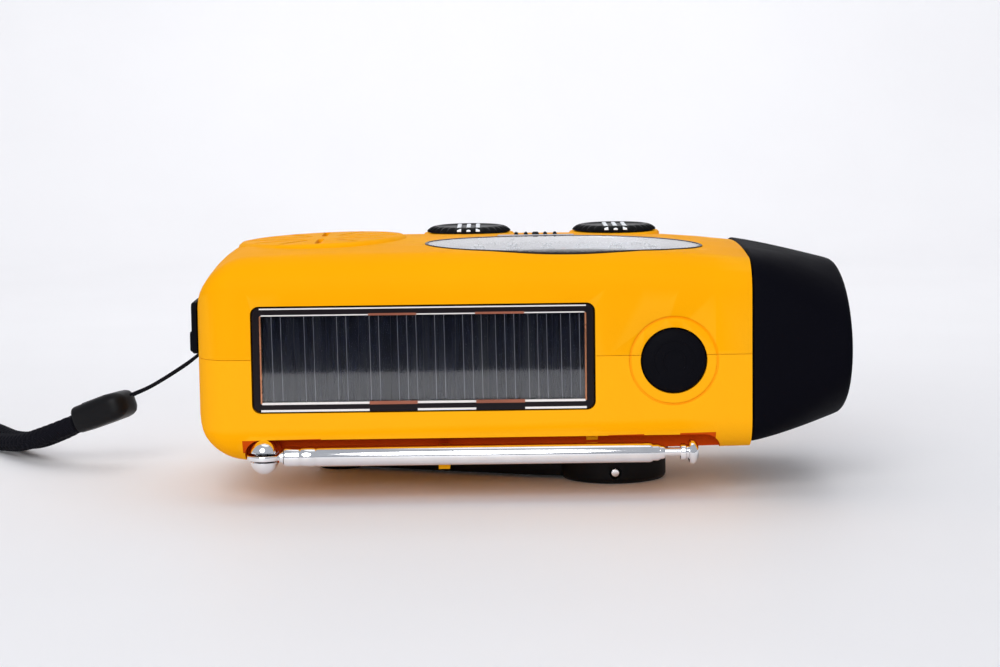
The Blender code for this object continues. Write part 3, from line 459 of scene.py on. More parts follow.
def build_stage():
    """A pale table that runs up into a pale backdrop, and three soft lights."""
    start = STAGE_FAR - STAGE_BEND
    profile = [(STAGE_NEAR, 0.0), (start, 0.0)]
    for k in range(1, 13):
        turn = math.pi / 2 * k / 12
        profile.append((start + STAGE_BEND * math.sin(turn), STAGE_BEND * (1 - math.cos(turn))))
    profile.append((STAGE_FAR, STAGE_TOP))
    points = [(x, y, z) for y, z in profile for x in (-STAGE_SIDE, STAGE_SIDE)]
    faces = [[2 * k, 2 * k + 1, 2 * k + 3, 2 * k + 2] for k in range(len(profile) - 1)]
    made, tree, node, where = shader("stage_white", (0.86, 0.85, 0.86), 0.6)
    tones = ((0.3, (0.85, 0.84, 0.85)), (0.7, (0.87, 0.86, 0.87)))
    tree.links.new(ramp(tree, noise(tree, where, 0.01, 2.0), tones), node.inputs["Base Color"])
    floor = piece("stage_floor", points, faces, made, body=None)
    for name, place, size, power, aim in LIGHTS:
        data = bpy.data.lights.new(name, "AREA")
        data.shape = "DISK"
        data.size = size * MM
        data.energy = power
        made = bpy.data.objects.new(name, data)
        made.location = Vector(place) * MM
        made.rotation_euler = (Vector(aim) - Vector(place)).to_track_quat("-Z", "Y").to_euler()
        bpy.context.scene.collection.objects.link(made)
    world = bpy.data.worlds.new("world")
    bpy.context.scene.world = world
    world.use_nodes = True
    tree = world.node_tree
    where = tree.nodes.new("ShaderNodeTexCoord")
    parts = tree.nodes.new("ShaderNodeSeparateXYZ")
    tree.links.new(where.outputs["Generated"], parts.inputs[0])
    # Dark below the horizon, so that the solar window mirrors a dark room past the table's edge.
    below = tree.nodes.new("ShaderNodeMapRange")
    below.inputs["From Min"].default_value = -0.01
    below.inputs["From Max"].default_value = 0.01
    tree.links.new(parts.outputs["Z"], below.inputs["Value"])
    colour = ramp(tree, below.outputs["Result"], ((0.0, DARK_ROOM), (1.0, PALE_ROOM)))
    tree.links.new(colour, tree.nodes["Background"].inputs["Color"])
    tree.nodes["Background"].inputs["Strength"].default_value = ROOM_STRENGTH


# ---------------- case shape

LEFT, SEAM, RIM = -74.3, high("front_shell")[0], high("flashlight_head")[0]
FRONT, BACK = -34.0, high("front_shell")[1]
MID = (FRONT + BACK) / 2
SPLIT = low("front_shell")[2]
CREST, CREST_X, CREST_DROP, CROWN = 58.9, -15.0, 2.3, 0.0016
BOTTOM_LEFT, BOTTOM_SEAM = 9.4, 11.5
EDGE_R, END_R, END_SIDE_R, WALL = 8.0, 12.0, 9.0, 2.0


def crest(x):
    return CREST - CREST_DROP * ((x - CREST_X) / (SEAM - CREST_X)) ** 4


def top_at(x, y):
    return crest(x) - CROWN * (y - MID) ** 2


def bottom(x):
    return BOTTOM_LEFT + (BOTTOM_SEAM - BOTTOM_LEFT) * (x - LEFT) / (SEAM - LEFT)


def rounding(distance, radius):
    if distance >= radius:
        return 0.0
    return radius - math.sqrt(radius ** 2 - (radius - distance) ** 2)


def half_ring(x, wall, upper, arc=10, flat=24):
    """Half of the case's section at x, drawn in by a wall thickness."""
    distance = max(x - LEFT - wall, 0.0)
    side = rounding(distance, END_SIDE_R - wall / 2) + wall
    lid = rounding(distance, END_R - wall) + wall
    corner = max(EDGE_R - max(side, lid), 1.2)
    front, back = FRONT + side, BACK - side
    reach = 1.0 if wall else -0.05
    ring = []
    turns = [math.pi / 2 * k / arc for k in range(arc + 1)]
    if upper:
        ring.append((x, front, SPLIT - reach))
        for turn in turns:
            ring.append((x, front + corner * (1 - math.cos(turn)),
                         top_at(x, front + corner) - lid - corner * (1 - math.sin(turn))))
        for k in range(1, flat):
            y = front + corner + (back - front - 2 * corner) * k / flat
            ring.append((x, y, top_at(x, y) - lid))
        for turn in reversed(turns):
            ring.append((x, back - corner * (1 - math.cos(turn)),
                         top_at(x, back - corner) - lid - corner * (1 - math.sin(turn))))
        ring.append((x, back, SPLIT - reach))
        return ring
    base = bottom(x) + lid
    ring.append((x, back, SPLIT + reach))
    for turn in turns:
        ring.append((x, back - corner * (1 - math.cos(turn)), base + corner * (1 - math.sin(turn))))
    for turn in reversed(turns):
        ring.append((x, front + corner * (1 - math.cos(turn)), base + corner * (1 - math.sin(turn))))
    ring.append((x, front, SPLIT + reach))
    return ring


def stations(wall, end):
    first = LEFT + wall
    bend = [first + (END_R - wall) * (1 - math.cos(math.pi / 2 * k / 12)) for k in range(13)]
    last = bend[-1]
    return bend + [last + (end - last) * k / 14 for k in range(1, 15)]


def shell_blank(name, upper, node):
    outer = piece(name, *loft([half_ring(x, 0, upper) for x in stations(0, SEAM)]), ORANGE)
    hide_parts(node)
    inner = guide(name + "_inner", *loft([half_ring(x, WALL, upper) for x in stations(WALL, SEAM + 1)]))
    return outer, inner


WINDOW = low("solar_window") + high("solar_window")
WINDOW_HALF = ((WINDOW[3] - WINDOW[0]) / 2 + 0.3, (WINDOW[5] - WINDOW[2]) / 2 + 0.3)
WINDOW_MID = ((WINDOW[3] + WINDOW[0]) / 2, (WINDOW[5] + WINDOW[2]) / 2)
BUTTON = middle("power_button")
SPEAKER = middle("speaker_frame")
DIAL_MID, DIAL_HALF = middle("dial_plate"), ((high("dial_plate")[0] - low("dial_plate")[0]) / 2 + 0.3,
                                             (high("dial_plate")[1] - low("dial_plate")[1]) / 2 + 0.3)
KNOBS = (("volume_knob", middle("volume_knob")), ("tuning_knob", middle("tuning_knob")))
BAND = middle("band_switch_slider")
PIVOT = middle("antenna_rivet")
GROOVE_TOP, GROOVE_LEFT, GROOVE_RIGHT, GROOVE_DEPTH = 15.2, -63.5, 46.3, 9.0
CLIPS = ((-17.6, 7.5, 12.6), (16.6, 13.9, 16.0))  # x, bottom, top


def side_openings(tag):
    """Cutters for what crosses the parting line."""
    ring = [(10.3, FRONT - 2), (10.3, FRONT + 0.45), (9.75, FRONT + 0.45), (9.75, FRONT - 2)]
    end = LEFT - 2
    return [
        guide("window" + tag,
              *slab(round_rectangle(*WINDOW_HALF, 2.0), WINDOW_MID, FRONT - 2, FRONT + 4, "Y")),
        bore("button" + tag, (BUTTON[0], 0, BUTTON[2]), 7.65, FRONT - 2, FRONT + 4, "Y", 64),
        guide("ring" + tag, *turned(ring, (BUTTON[0], 0, BUTTON[2]), "Y", 96, hollow=True)),
        guide("notch" + tag, *block(end, -69.4, 0.4, 7.6, 30.4, 38.8)),
        guide("ports" + tag, *block(end, LEFT + 4, -22.5, -6.5, 35.6, 45.0)),
    ]


def strap_block(tag):
    return guide("strap_block" + tag, *block(LEFT - 1, -67.0, -1.0, 9.0, 26.5, 43.0))


def lean_of_speaker():
    return Matrix.Translation((SPEAKER[0], MID, 59.1)) @ Matrix.Rotation(math.radians(-1.9), 4, "Y")


SLITS, SLIT_END, SLIT_NEAR, SLIT_HALF = 12, 17.5, (7.0, 5.2), 0.75


def slits():
    """The sunburst of slots in the speaker disc."""
    points, faces = [], []
    for k in range(SLITS):
        turn = 2 * math.pi * k / SLITS
        near = SLIT_NEAR[k % 2]
        out = Vector((math.cos(turn), math.sin(turn)))
        side = Vector((-out.y, out.x))
        base = len(points)
        outline = []
        for reach, start in ((SLIT_END, math.pi / 2), (near, -math.pi / 2)):
            for a in range(9):
                lean = start - math.pi * a / 8
                outline.append(out * (reach + SLIT_HALF * math.cos(lean))
                               + side * SLIT_HALF * math.sin(lean))
        count = len(outline)
        for z in (50, 64):
            points += [(SPEAKER[0] + p.x, MID + p.y, z) for p in outline]
        faces += [[base + i for i in range(count)], [base + count + i for i in range(count)]]
        for i in range(count):
            n = (i + 1) % count
            faces.append([base + i, base + n, base + count + n, base + count + i])
    return guide("slits", points, faces)


def build_front_case():
    shell, inner = shell_blank("front_case", True, "front_shell")
    carve(inner, [strap_block("_up")])
    carve(shell, [inner])
    profile = [(0, -3.5), (20.0, -3.5), (20.4, -1.4), (20.15, -0.7), (19.4, -0.15), (18.4, 0.0), (0, 0)]
    boss = guide("boss", *turned(profile, (0, 0, 0), "Z", 96))
    boss.data.transform(Matrix.Scale(1 / MM, 4))
    boss.data.transform(lean_of_speaker())
    boss.data.transform(Matrix.Scale(MM, 4))
    collars = []
    for name, place in KNOBS:
        ring = [(0, 56.0), (11.3, 56.0), (11.3, 58.1), (11.0, 58.5), (0, 58.5)]
        collars.append(guide(name + "_collar", *turned(ring, (place[0], place[1], 0), "Z", 72)))
    carve(shell, [boss] + collars, "UNION")
    holes = [slits(), guide("dial", *slab(ellipse(*DIAL_HALF), DIAL_MID[:2], 51.5, 62)),
             guide("band", *block(BAND[0] - 8, BAND[0] + 8, BAND[1] - 1.6, BAND[1] + 1.6, 50, 62))]
    for name, place in KNOBS:
        holes.append(bore(name + "_hole", (place[0], place[1], 0), 3.8, 50, 62, "Z"))
    carve(shell, holes + side_openings("_up"))
    round_edges(shell, 0.22)


def build_back_case():
    shell, inner = shell_blank("back_case", False, "back_shell")
    thick = 1.8
    lining = guide("lining", *block(GROOVE_LEFT - thick, GROOVE_RIGHT + thick, FRONT - 2,
                                    FRONT + GROOVE_DEPTH + thick, 0, GROOVE_TOP + thick))
    carve(inner, [lining, strap_block("_down")])
    carve(shell, [inner])
    outline = round_rectangle((GROOVE_RIGHT - GROOVE_LEFT) / 2, 12, 4, 12)
    middle_x = (GROOVE_RIGHT + GROOVE_LEFT) / 2
    groove = slab(outline, (middle_x, GROOVE_TOP - 12), FRONT - 3, FRONT + GROOVE_DEPTH, "Y")
    carve(shell, [guide("groove", *groove)])
    extra = []
    for k, (x, z0, z1) in enumerate(CLIPS):
        clip = block(x - 1.3, x + 1.3, FRONT + 3.6, FRONT + GROOVE_DEPTH + 0.5, z0, z1)
        extra.append(guide(f"clip_{k}", *clip))
    boss = plain(3.6, FRONT + 6.2, FRONT + 9.5)
    extra.append(guide("pivot_boss", *turned(boss, (PIVOT[0], 0, PIVOT[2]), "Y", 48)))
    posts, holes = [], []
    for k in range(4):
        box_mid = middle(f"case_screw_{k + 1}")
        x, y = box_mid[0], box_mid[1]
        floor = bottom(x)
        post = plain(4.2, floor + 1, SPLIT - 0.3)
        posts.append(guide(f"post_{k}", *turned(post, (x, y, 0), "Z", 32)))
        hole = [(0, 5), (3.0, 5), (3.0, floor + 3.2), (1.6, floor + 3.2), (1.6, SPLIT + 1), (0, SPLIT + 1)]
        holes.append(guide(f"hole_{k}", *turned(hole, (x, y, 0), "Z", 32)))
    carve(shell, extra + posts, "UNION")
    hub = middle("crank_hub")
    holes.append(bore("shaft", (hub[0], hub[1], 0), 3.4, 5, 16, "Z"))
    holes.append(bore("pivot", (PIVOT[0], 0, PIVOT[2]), 1.9, FRONT + 5, FRONT + 11.7, "Y"))
    a, b = low("battery_door"), high("battery_door")
    holes.append(guide("battery", *block(a[0] - 0.4, b[0] + 0.4, a[1] - 0.4, b[1] + 0.4, 5, 14)))
    carve(shell, holes + side_openings("_down"))
    paint_groove_shade(shell)
    round_edges(shell, 0.22)


def paint_groove_shade(shell):
    """Painted shade: the aerial's groove gets a darker, redder orange than the clips that hold the aerial,
    standing in for the shade inside it.
    """
    shell.data.materials.append(GROOVE_SHADE)
    last = len(shell.data.materials) - 1
    for face in shell.data.polygons:
        x, y, z = face.center / MM
        inside = (GROOVE_LEFT - 0.1 < x < GROOVE_RIGHT + 0.1
                  and FRONT + 0.05 < y < FRONT + GROOVE_DEPTH + 0.2)
        on_clip = any(abs(x - place[0]) < 1.5 and place[1] - 0.1 < z < place[2] + 0.1 for place in CLIPS)
        on_back = y > FRONT + GROOVE_DEPTH - 0.1
        if inside and z < GROOVE_TOP + 0.1 and (on_back or not on_clip):
            face.material_index = last


# ---------------- lamp head

def head_ring(x, inset, steps=96):
    """The lamp head's section: the case's seam section turning into an oval rim."""
    share = max((x - SEAM) / (RIM - SEAM), 0.0) ** 1.25
    ring = []
    for k in range(steps):
        turn = 2 * math.pi * (k + 0.5) / steps
        c, s = math.cos(turn), math.sin(turn)
        oval = (35.2 * c, 18.2 * s)
        half_z = top_at(SEAM, MID) - 33.0 if s > 0 else 33.0 - BOTTOM_SEAM
        power = 2 / 6.0
        seam = ((BACK - FRONT) / 2 * math.copysign(abs(c) ** power, c),
                half_z * math.copysign(abs(s) ** power, s))
        y = MID + (1 - share) * seam[0] + share * oval[0]
        z = 33.0 * (1 - share) + 34.0 * share + (1 - share) * seam[1] + share * oval[1]
        away = Vector((y - MID, z - 33.5))
        away -= away.normalized() * inset
        ring.append((x, MID + away.x, 33.5 + away.y))
    return ring


LAMP_MID_Z, LAMP_PITCH = 34.0, 18.4


def build_head():
    start = low("flashlight_head")[0]
    rings = [head_ring(start, 0.5), head_ring(start + 0.3, 0.1)]
    rings += [head_ring(start + 0.6 + (RIM - 2.2 - start) * k / 16, 0) for k in range(17)]
    rings += [head_ring(RIM - 1.2 + 1.2 * math.sin(t), 1.2 * (1 - math.cos(t)))
              for t in (math.pi / 2 * k / 5 for k in range(1, 6))]
    head = piece("lamp_head", *loft(rings), HEAD)
    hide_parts("flashlight_head")
    centre = (MID, LAMP_MID_Z)
    carve(head, [
        guide("head_inner", *loft([head_ring(x, WALL) for x in (SEAM - 1, 59, 65, 71)])),
        guide("opening", *slab(ellipse(29.0, 13.2), centre, 68, 80, "X")),
        guide("seat", *slab(ellipse(31.0, 15.2), centre, 73.2, 80, "X"))])
    round_edges(head, 0.3, angle=55)
    rings = [placed(ellipse(30.7 - a, 14.9 - a), centre, x, "X")
             for a, x in ((0.4, 73.5), (0, 73.8), (0, 75.0), (0.4, 75.4), (2.2, 75.6))]
    lens = piece("lamp_lens", *loft(rings), CLEAR)
    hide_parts("flashlight_lens")
    for k in range(3):
        piece(f"reflector_rim_{k + 1}", *turned(
            fillet([(8.35, 73.05), (8.35, 73.25), (8.0, 73.35), (7.9, 73.1)], 0.05),
            (0, MID + (k - 1) * LAMP_PITCH, LAMP_MID_Z), "X", 48, hollow=True), MIRROR)


# ---------------- solar window

def build_solar():
    half_a, half_b = WINDOW_HALF[0] - 0.3, WINDOW_HALF[1] - 0.3
    front = FRONT - 0.15
    # The cover is a glossy black rim with a chamfer, round a thinner clear pane.
    outline = ((0.0, FRONT + 3.1), (0.0, front + 0.35), (0.35, front), (1.6, front), (2.1, front + 0.55))
    rings = [placed(round_rectangle(half_a - a, half_b - a, 1.7 - 0.5 * a), WINDOW_MID, y, "Y")
             for a, y in outline]
    inner = ((2.1, front + 1.5), (1.55, front + 1.7), (1.5, FRONT + 3.1))
    rings += [placed(round_rectangle(half_a - a, half_b - a, 0.85), WINDOW_MID, y, "Y") for a, y in inner]
    pane = [placed(round_rectangle(half_a - 2.1, half_b - 2.1, 0.85), WINDOW_MID, y, "Y")
            for y in (front + 0.55, front + 1.45)]
    cover = piece("solar_cover", *loft(pane), CLEAR)
    piece("solar_cover_rim", *loft(rings, close=True), BORDER, smooth=25)
    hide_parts("solar_window")
    frame_rings = [placed(round_rectangle(half_a - a, half_b - a, 1.2), WINDOW_MID, y, "Y")
                   for a, y in ((0.1, FRONT + 3.5), (0.1, FRONT + 3.2), (2.4, FRONT + 3.2),
                                (2.4, FRONT + 3.5))]
    piece("window_border", *loft(frame_rings, close=True), BORDER)
    wall = [placed(round_rectangle(half_a - a, half_b - a, 0.9), WINDOW_MID, y, "Y")
            for a, y in ((1.95, FRONT + 3.1), (1.95, FRONT + 1.75), (2.05, FRONT + 1.75),
                         (2.05, FRONT + 3.1))]
    piece("copper_edge", *loft(wall, close=True), COPPER)
    build_panel(half_a, half_b)


def strip(name, spans, z0, z1, y0, y1, look):
    """Thin upright or level bars in front of the cells."""
    points, faces = [], []
    for x0, x1, lean in spans:
        base = len(points)
        for y in (y0, y1):
            points += [(x0 + lean, y, z0), (x1 + lean, y, z0), (x1, y, z1), (x0, y, z1)]
        faces += [[base + i for i in face] for face in BOX_FACES]
    return piece(name, points, faces, look)


CELLS, CELL_INSET, CELL_GAP = 10, 2.1, 0.06
FINGERS = (2, 2, 2, 2, 3, 2, 3, 3, 3, 3)  # lines on each group
FINGER_START, FINGER_GROUP, FINGER_PITCH, FINGER_HALF, FINGER_LEAN = 3.3, 7.48, 2.12, 0.055, 0.25
TABS = ((-34.4, -23.4, 0.0), (-10.0, 1.2, 0.0))  # from, to, lean


def build_panel(half_a, half_b):
    """Ten dark strips side by side, each with its light finger lines."""
    x0, x1 = WINDOW_MID[0] - half_a + CELL_INSET, WINDOW_MID[0] + half_a - CELL_INSET
    z0, z1 = WINDOW_MID[1] - half_b + CELL_INSET, WINDOW_MID[1] + half_b - CELL_INSET
    face = FRONT + 2.1
    pitch = (x1 - x0) / CELLS
    cells = [(x0 + k * pitch + CELL_GAP, x0 + (k + 1) * pitch - CELL_GAP, 0.0) for k in range(CELLS)]
    panel = strip("solar_cells", cells, z0, z1, face, face + 0.5, CELL)
    backing = block(x0 - 0.4, x1 + 0.4, face + 0.55, face + 1.4, z0 - 0.3, z1 + 0.3)
    piece("solar_backing", *backing, DARK, slot="solar_cell")
    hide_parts("solar_panel")
    lines = []
    for k, many in enumerate(FINGERS):
        start = x0 + FINGER_START + k * FINGER_GROUP
        for m in range(many):
            x = start + (m - (many - 1) / 2) * FINGER_PITCH
            lines.append((x - FINGER_HALF, x + FINGER_HALF, FINGER_LEAN))
    strip("finger_lines", lines, z0 + 0.1, z1 - 0.1, face - 0.03, face + 0.2, SILVER_LINE)
    build_rim_lines()


def build_rim_lines():
    """Painted highlights as pale lines along the frame's top and bottom, copper at its ends, and four brown
    snap tabs.
    """
    a, low_z, b, high_z = WINDOW[0], WINDOW[2], WINDOW[3], WINDOW[5]
    front = FRONT - 0.15
    rows = (("rim_top", high_z - 0.45, high_z - 0.15, 0.02),
            ("rim_top_inner", high_z - 1.95, high_z - 1.6, 0.12),
            ("rim_low", low_z + 0.12, low_z + 0.6, 0.02),
            ("rim_low_inner", low_z + 1.75, low_z + 2.25, 0.12))
    # Painted highlights: pale strips where the frame's chamfers would catch the light.
    for name, z0, z1, deep in rows:
        strip(name, [(a + 1.8, b - 1.8, 0.0)], z0, z1, front - 0.03 + deep, front + 0.5, RIM_HIGHLIGHT)
    ends = [(a + 1.75, a + 2.1, 0.0), (b - 2.1, b - 1.75, 0.0)]
    strip("rim_ends", ends, low_z + 2.0, high_z - 1.7, front + 0.05, front + 0.5, COPPER)
    strip("tabs_low", TABS, low_z + 0.05, low_z + 1.6, front - 0.06, front + 0.5, BORDER)
    strip("tabs_low_edge", TABS, low_z + 1.62, low_z + 2.35, front - 0.06, front + 0.5, BROWN)
    strip("tabs_high_edge", TABS, high_z - 2.0, high_z - 1.5, front - 0.03, front + 0.5, BROWN)


# ---------------- controls

def build_button():
    centre = (BUTTON[0], 0, BUTTON[2])
    profile = [(0, FRONT - 1.15)]
    profile += [(7.3 * math.sin(t), FRONT - 1.15 + 1.35 * (1 - math.cos(t)) ** 1.3)
                for t in (math.pi / 2 * k / 16 for k in range(1, 17))]
    profile += [(7.3, FRONT + 2.4), (8.6, FRONT + 2.4), (8.6, FRONT + 3.6), (0, FRONT + 3.6)]
    button = piece("button", *turned(profile, centre, "Y", 96), RUBBER, "power_button")
    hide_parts("power_button")
    # A generic bulb sign, moulded proud: two broken rings, one inside the other.
    for mark, (start, end, radius) in enumerate(((-50, 230, 2.6), (-40, 220, 4.6))):
        rings = []
        steps = 40
        for k in range(steps + 1):
            turn = math.radians(start + (end - start) * k / steps)
            ring = []
            for j in range(8):
                spin = 2 * math.pi * j / 8
                r = radius + 0.16 * math.cos(spin)
                sink = 1.35 * (1 - math.cos(math.asin(min(radius / 7.3, 1)))) ** 1.3
                ring.append((centre[0] + r * math.cos(turn), FRONT - 1.15 + sink + 0.12 * math.sin(spin),
                             centre[2] + r * math.sin(turn)))
            rings.append(ring)
        piece(f"button_mark_{mark}", *loft(rings), RUBBER, "power_button")


def ribbed(profile, centre, ribs, power=1.0, steps=6):
    """Rings of a round body with hollows between its ribs; profile is (radius, z, depth)."""
    rings = []
    for radius, z, depth in profile:
        ring = []
        for k in range(ribs * steps):
            turn = 2 * math.pi * k / (ribs * steps)
            r = radius - depth * (0.5 - 0.5 * math.cos(turn * ribs)) ** power
            ring.append((centre[0] + r * math.cos(turn), centre[1] + r * math.sin(turn), z))
        rings.append(ring)
    return rings


KNOB_PROFILE = (
    (9.7, 58.75, 0.0), (10.35, 58.8, 0.5), (10.45, 58.95, 0.75), (10.2, 59.35, 0.75), (9.5, 59.85, 0.6),
    (8.7, 60.15, 0.35), (8.0, 60.25, 0.0), (7.6, 60.2, 0.0), (7.3, 60.0, 0.0), (3.0, 60.02, 0.0))
BAR_PITCH, RIB_PITCH = 2.3, 2.35


def build_knobs():
    for name, place in KNOBS:
        centre = (place[0], place[1])
        rings = ribbed(KNOB_PROFILE, centre, 30, 0.7)
        knob = piece(name.replace("_knob", "_dial_knob"), *loft(rings), GLOSS, name, smooth=50)
        stem = turned(plain(2.6, 47.4, 58.9), (*centre, 0), "Z", 32)
        piece(name + "_stem", *stem, GLOSS, name)
        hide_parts(name)
        # Painted highlights: three white bars across each knob's top and down its front side stand in for the
        # shine of its ribs.
        for k in range(3):
            x = centre[0] + (k - 1) * BAR_PITCH
            piece(f"{name}_bar_{k + 1}", *loft([
                placed(round_rectangle(0.5 - a, 5.2 - a, 0.3 - a * 0.5, 4), (x, centre[1]), z, "Z")
                for a, z in ((0, 59.9), (0, 60.2), (0.12, 60.3))]), WHITE, name, slot="knob_black")
            y0, y1 = centre[1] - 9.9, centre[1] - 7.6
            corners = [(x + dx, y, z) for lift in (0.0, 0.12)
                       for dx, y, z in ((-0.5, y0, 59.3 + lift), (0.5, y0, 59.3 + lift),
                                        (0.5, y1, 60.2 + lift), (-0.5, y1, 60.2 + lift))]
            piece(f"{name}_foot_{k + 1}", corners, BOX_FACES, WHITE, name, slot="knob_black")
    build_band_switch()


def build_band_switch():
    x, y = BAND[0], BAND[1]
    parts = [loft([placed(round_rectangle(5.2 - a, 1.3 - a, 0.3, 3), (x, y), z, "Z")
                   for a, z in ((0.1, 58.3), (0, 58.4), (0, 58.7), (0.1, 58.8))])]
    for k in range(5):
        half = 0.85 if k == 2 else 0.5
        shape = ((0, 58.7), (0, 59.1), (0.08, 59.35), (0.22, 59.52), (0.4, 59.6))
        parts.append(loft([placed(round_rectangle(half - a, 1.2 - a, 0.08, 3),
                                  (x + (k - 2) * RIB_PITCH, y), z, "Z")
                           for a, z in shape]))
    points, faces = [], []
    for p, f in parts:
        base = len(points)
        points += p
        faces += [[base + i for i in face] for face in f]
    made = piece("band_slider_cap", points, faces, GLOSS, "band_switch")
    stem = block(x - 3, x + 3, y - 0.9, y + 0.9, 48.8, 58.4)
    piece("band_slider_stem", *stem, GLOSS, "band_switch")
    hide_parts("band_switch_slider")
    top = top_at(x, y)
    base = [placed(round_rectangle(9.3 - a, 0.75 - a, 0.6 - a), (x, y - 2.55), z, "Z")
            for a, z in ((0, top - 0.6), (0, top + 0.16), (0.08, top + 0.24))]
    piece("band_plate", *loft(base), DIAL)


def number(text, x, y, size):
    """A printed number lying on the dial's cover."""
    data = bpy.data.curves.new(text, "FONT")
    data.body = text
    data.size = size * MM
    data.extrude = 0.02 * MM
    data.align_x = "CENTER"
    data.align_y = "CENTER"
    made = bpy.data.objects.new(text, data)
    slope = (lid_at(x + 1, y) - lid_at(x - 1, y)) / 2
    lean = (lid_at(x, y + 1) - lid_at(x, y - 1)) / 2
    made.location = Vector((x, y, lid_at(x, y) + 0.11)) * MM
    made.rotation_euler = (math.atan(lean), -math.atan(slope), 0)
    bpy.context.scene.collection.objects.link(made)
    bpy.context.view_layer.update()
    mesh = bpy.data.meshes.new_from_object(made.evaluated_get(bpy.context.evaluated_depsgraph_get()))
    mesh.transform(made.matrix_world)
    bpy.data.objects.remove(made, do_unlink=True)
    flat = bpy.data.objects.new(text, mesh)
    bpy.context.scene.collection.objects.link(flat)
    mesh.materials.clear()
    mesh.materials.append(WHITE)
    return flat


def lid_at(x, y):
    """Height of the case's top, with its rounded front edge."""
    start = FRONT + EDGE_R
    if y >= start:
        return top_at(x, y)
    return top_at(x, start) - rounding(y - FRONT, EDGE_R)


def dial_ring(inset, drop, share=1.0, steps=128):
    """An oval that follows the case's top, a little below it."""
    ring = []
    for a, b in ellipse((DIAL_HALF[0] - inset) * share, (DIAL_HALF[1] - inset) * share, steps):
        x, y = DIAL_MID[0] + a, DIAL_MID[1] + b
        ring.append((x, y, lid_at(x, y) - drop))
    return ring


def level_ring(inset, z, steps=128):
    return placed(ellipse(DIAL_HALF[0] - inset, DIAL_HALF[1] - inset, steps), DIAL_MID[:2], z, "Z")


def build_dial():
    """A silver tray with a red needle, under a clear cover that follows the case's curve."""
    x, y = DIAL_MID[:2]
    rings = [level_ring(0.45, 54.2), dial_ring(0.45, 1.15), dial_ring(1.0, 1.15), level_ring(1.05, 55.4),
             level_ring(1.4, 55.1)]
    plate = piece("dial_face", *loft(rings), DIAL)
    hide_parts("dial_plate")
    rings = [dial_ring(0.12, 0.95), dial_ring(0.12, -0.12), dial_ring(0.3, -0.2), dial_ring(0.75, -0.16),
             dial_ring(0.8, 0.2), dial_ring(0.8, 0.95)]
    piece("dial_edge", *loft(rings, close=True), BORDER)
    # Painted shadow: a thin dark ring on the dial face just inside the cover's edge.
    rings = [dial_ring(0.9, 1.12), dial_ring(0.9, 1.07), dial_ring(1.75, 1.07), dial_ring(1.75, 1.12)]
    piece("dial_painted_shadow_ring", *loft(rings, close=True), BORDER)
    shares = (1.0, 0.985, 0.96, 0.9, 0.8, 0.65, 0.5, 0.35, 0.2, 0.08)
    rings = [dial_ring(0.85, 1.05, share) for share in reversed(shares)]
    rings += [dial_ring(0.85, -0.08, share) for share in shares]
    window = piece("dial_cover", *loft(rings), CLEAR)
    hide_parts("dial_window")
    prints = []
    rows = ((("88", "92", "96", "100", "104", "108"), -5.2),
            (("530", "600", "700", "900", "1200", "1600"), -9.4),
            (("1", "2", "3", "4", "5", "6"), 8.2))
    for words, dy in rows:
        for k, word in enumerate(words):
            prints.append(number(word, x - 20 + 8.0 * k, y + dy, 2.3))
    points, faces = [], []
    for k in range(41):
        half = 1.0 if k % 4 == 0 else 0.6
        px, py = x - 20 + k, y - 1.4
        base = len(points)
        for z in (0.09, 0.13):
            for dx, dy in ((-0.1, -half), (0.1, -half), (0.1, half), (-0.1, half)):
                points.append((px + dx, py + dy, lid_at(px, py) + z))
        faces += [[base + i for i in face] for face in BOX_FACES]
    prints.append(piece("ticks", points, faces, WHITE, body=None))
    made = join(prints, "dial_numbers")
    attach(made, "root")
    needle = piece("needle", *loft([placed(round_rectangle(0.4 - s, 6.4 - s, 0.2, 3), (x, y), z, "Z")
                                    for s, z in ((0, 55.6), (0, 55.9), (0.1, 56.0))]), RED, "dial_pointer")
    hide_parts("dial_pointer")


# ---------------- aerial

TUBE_LEFT, TUBE_R = -54.25, 2.35


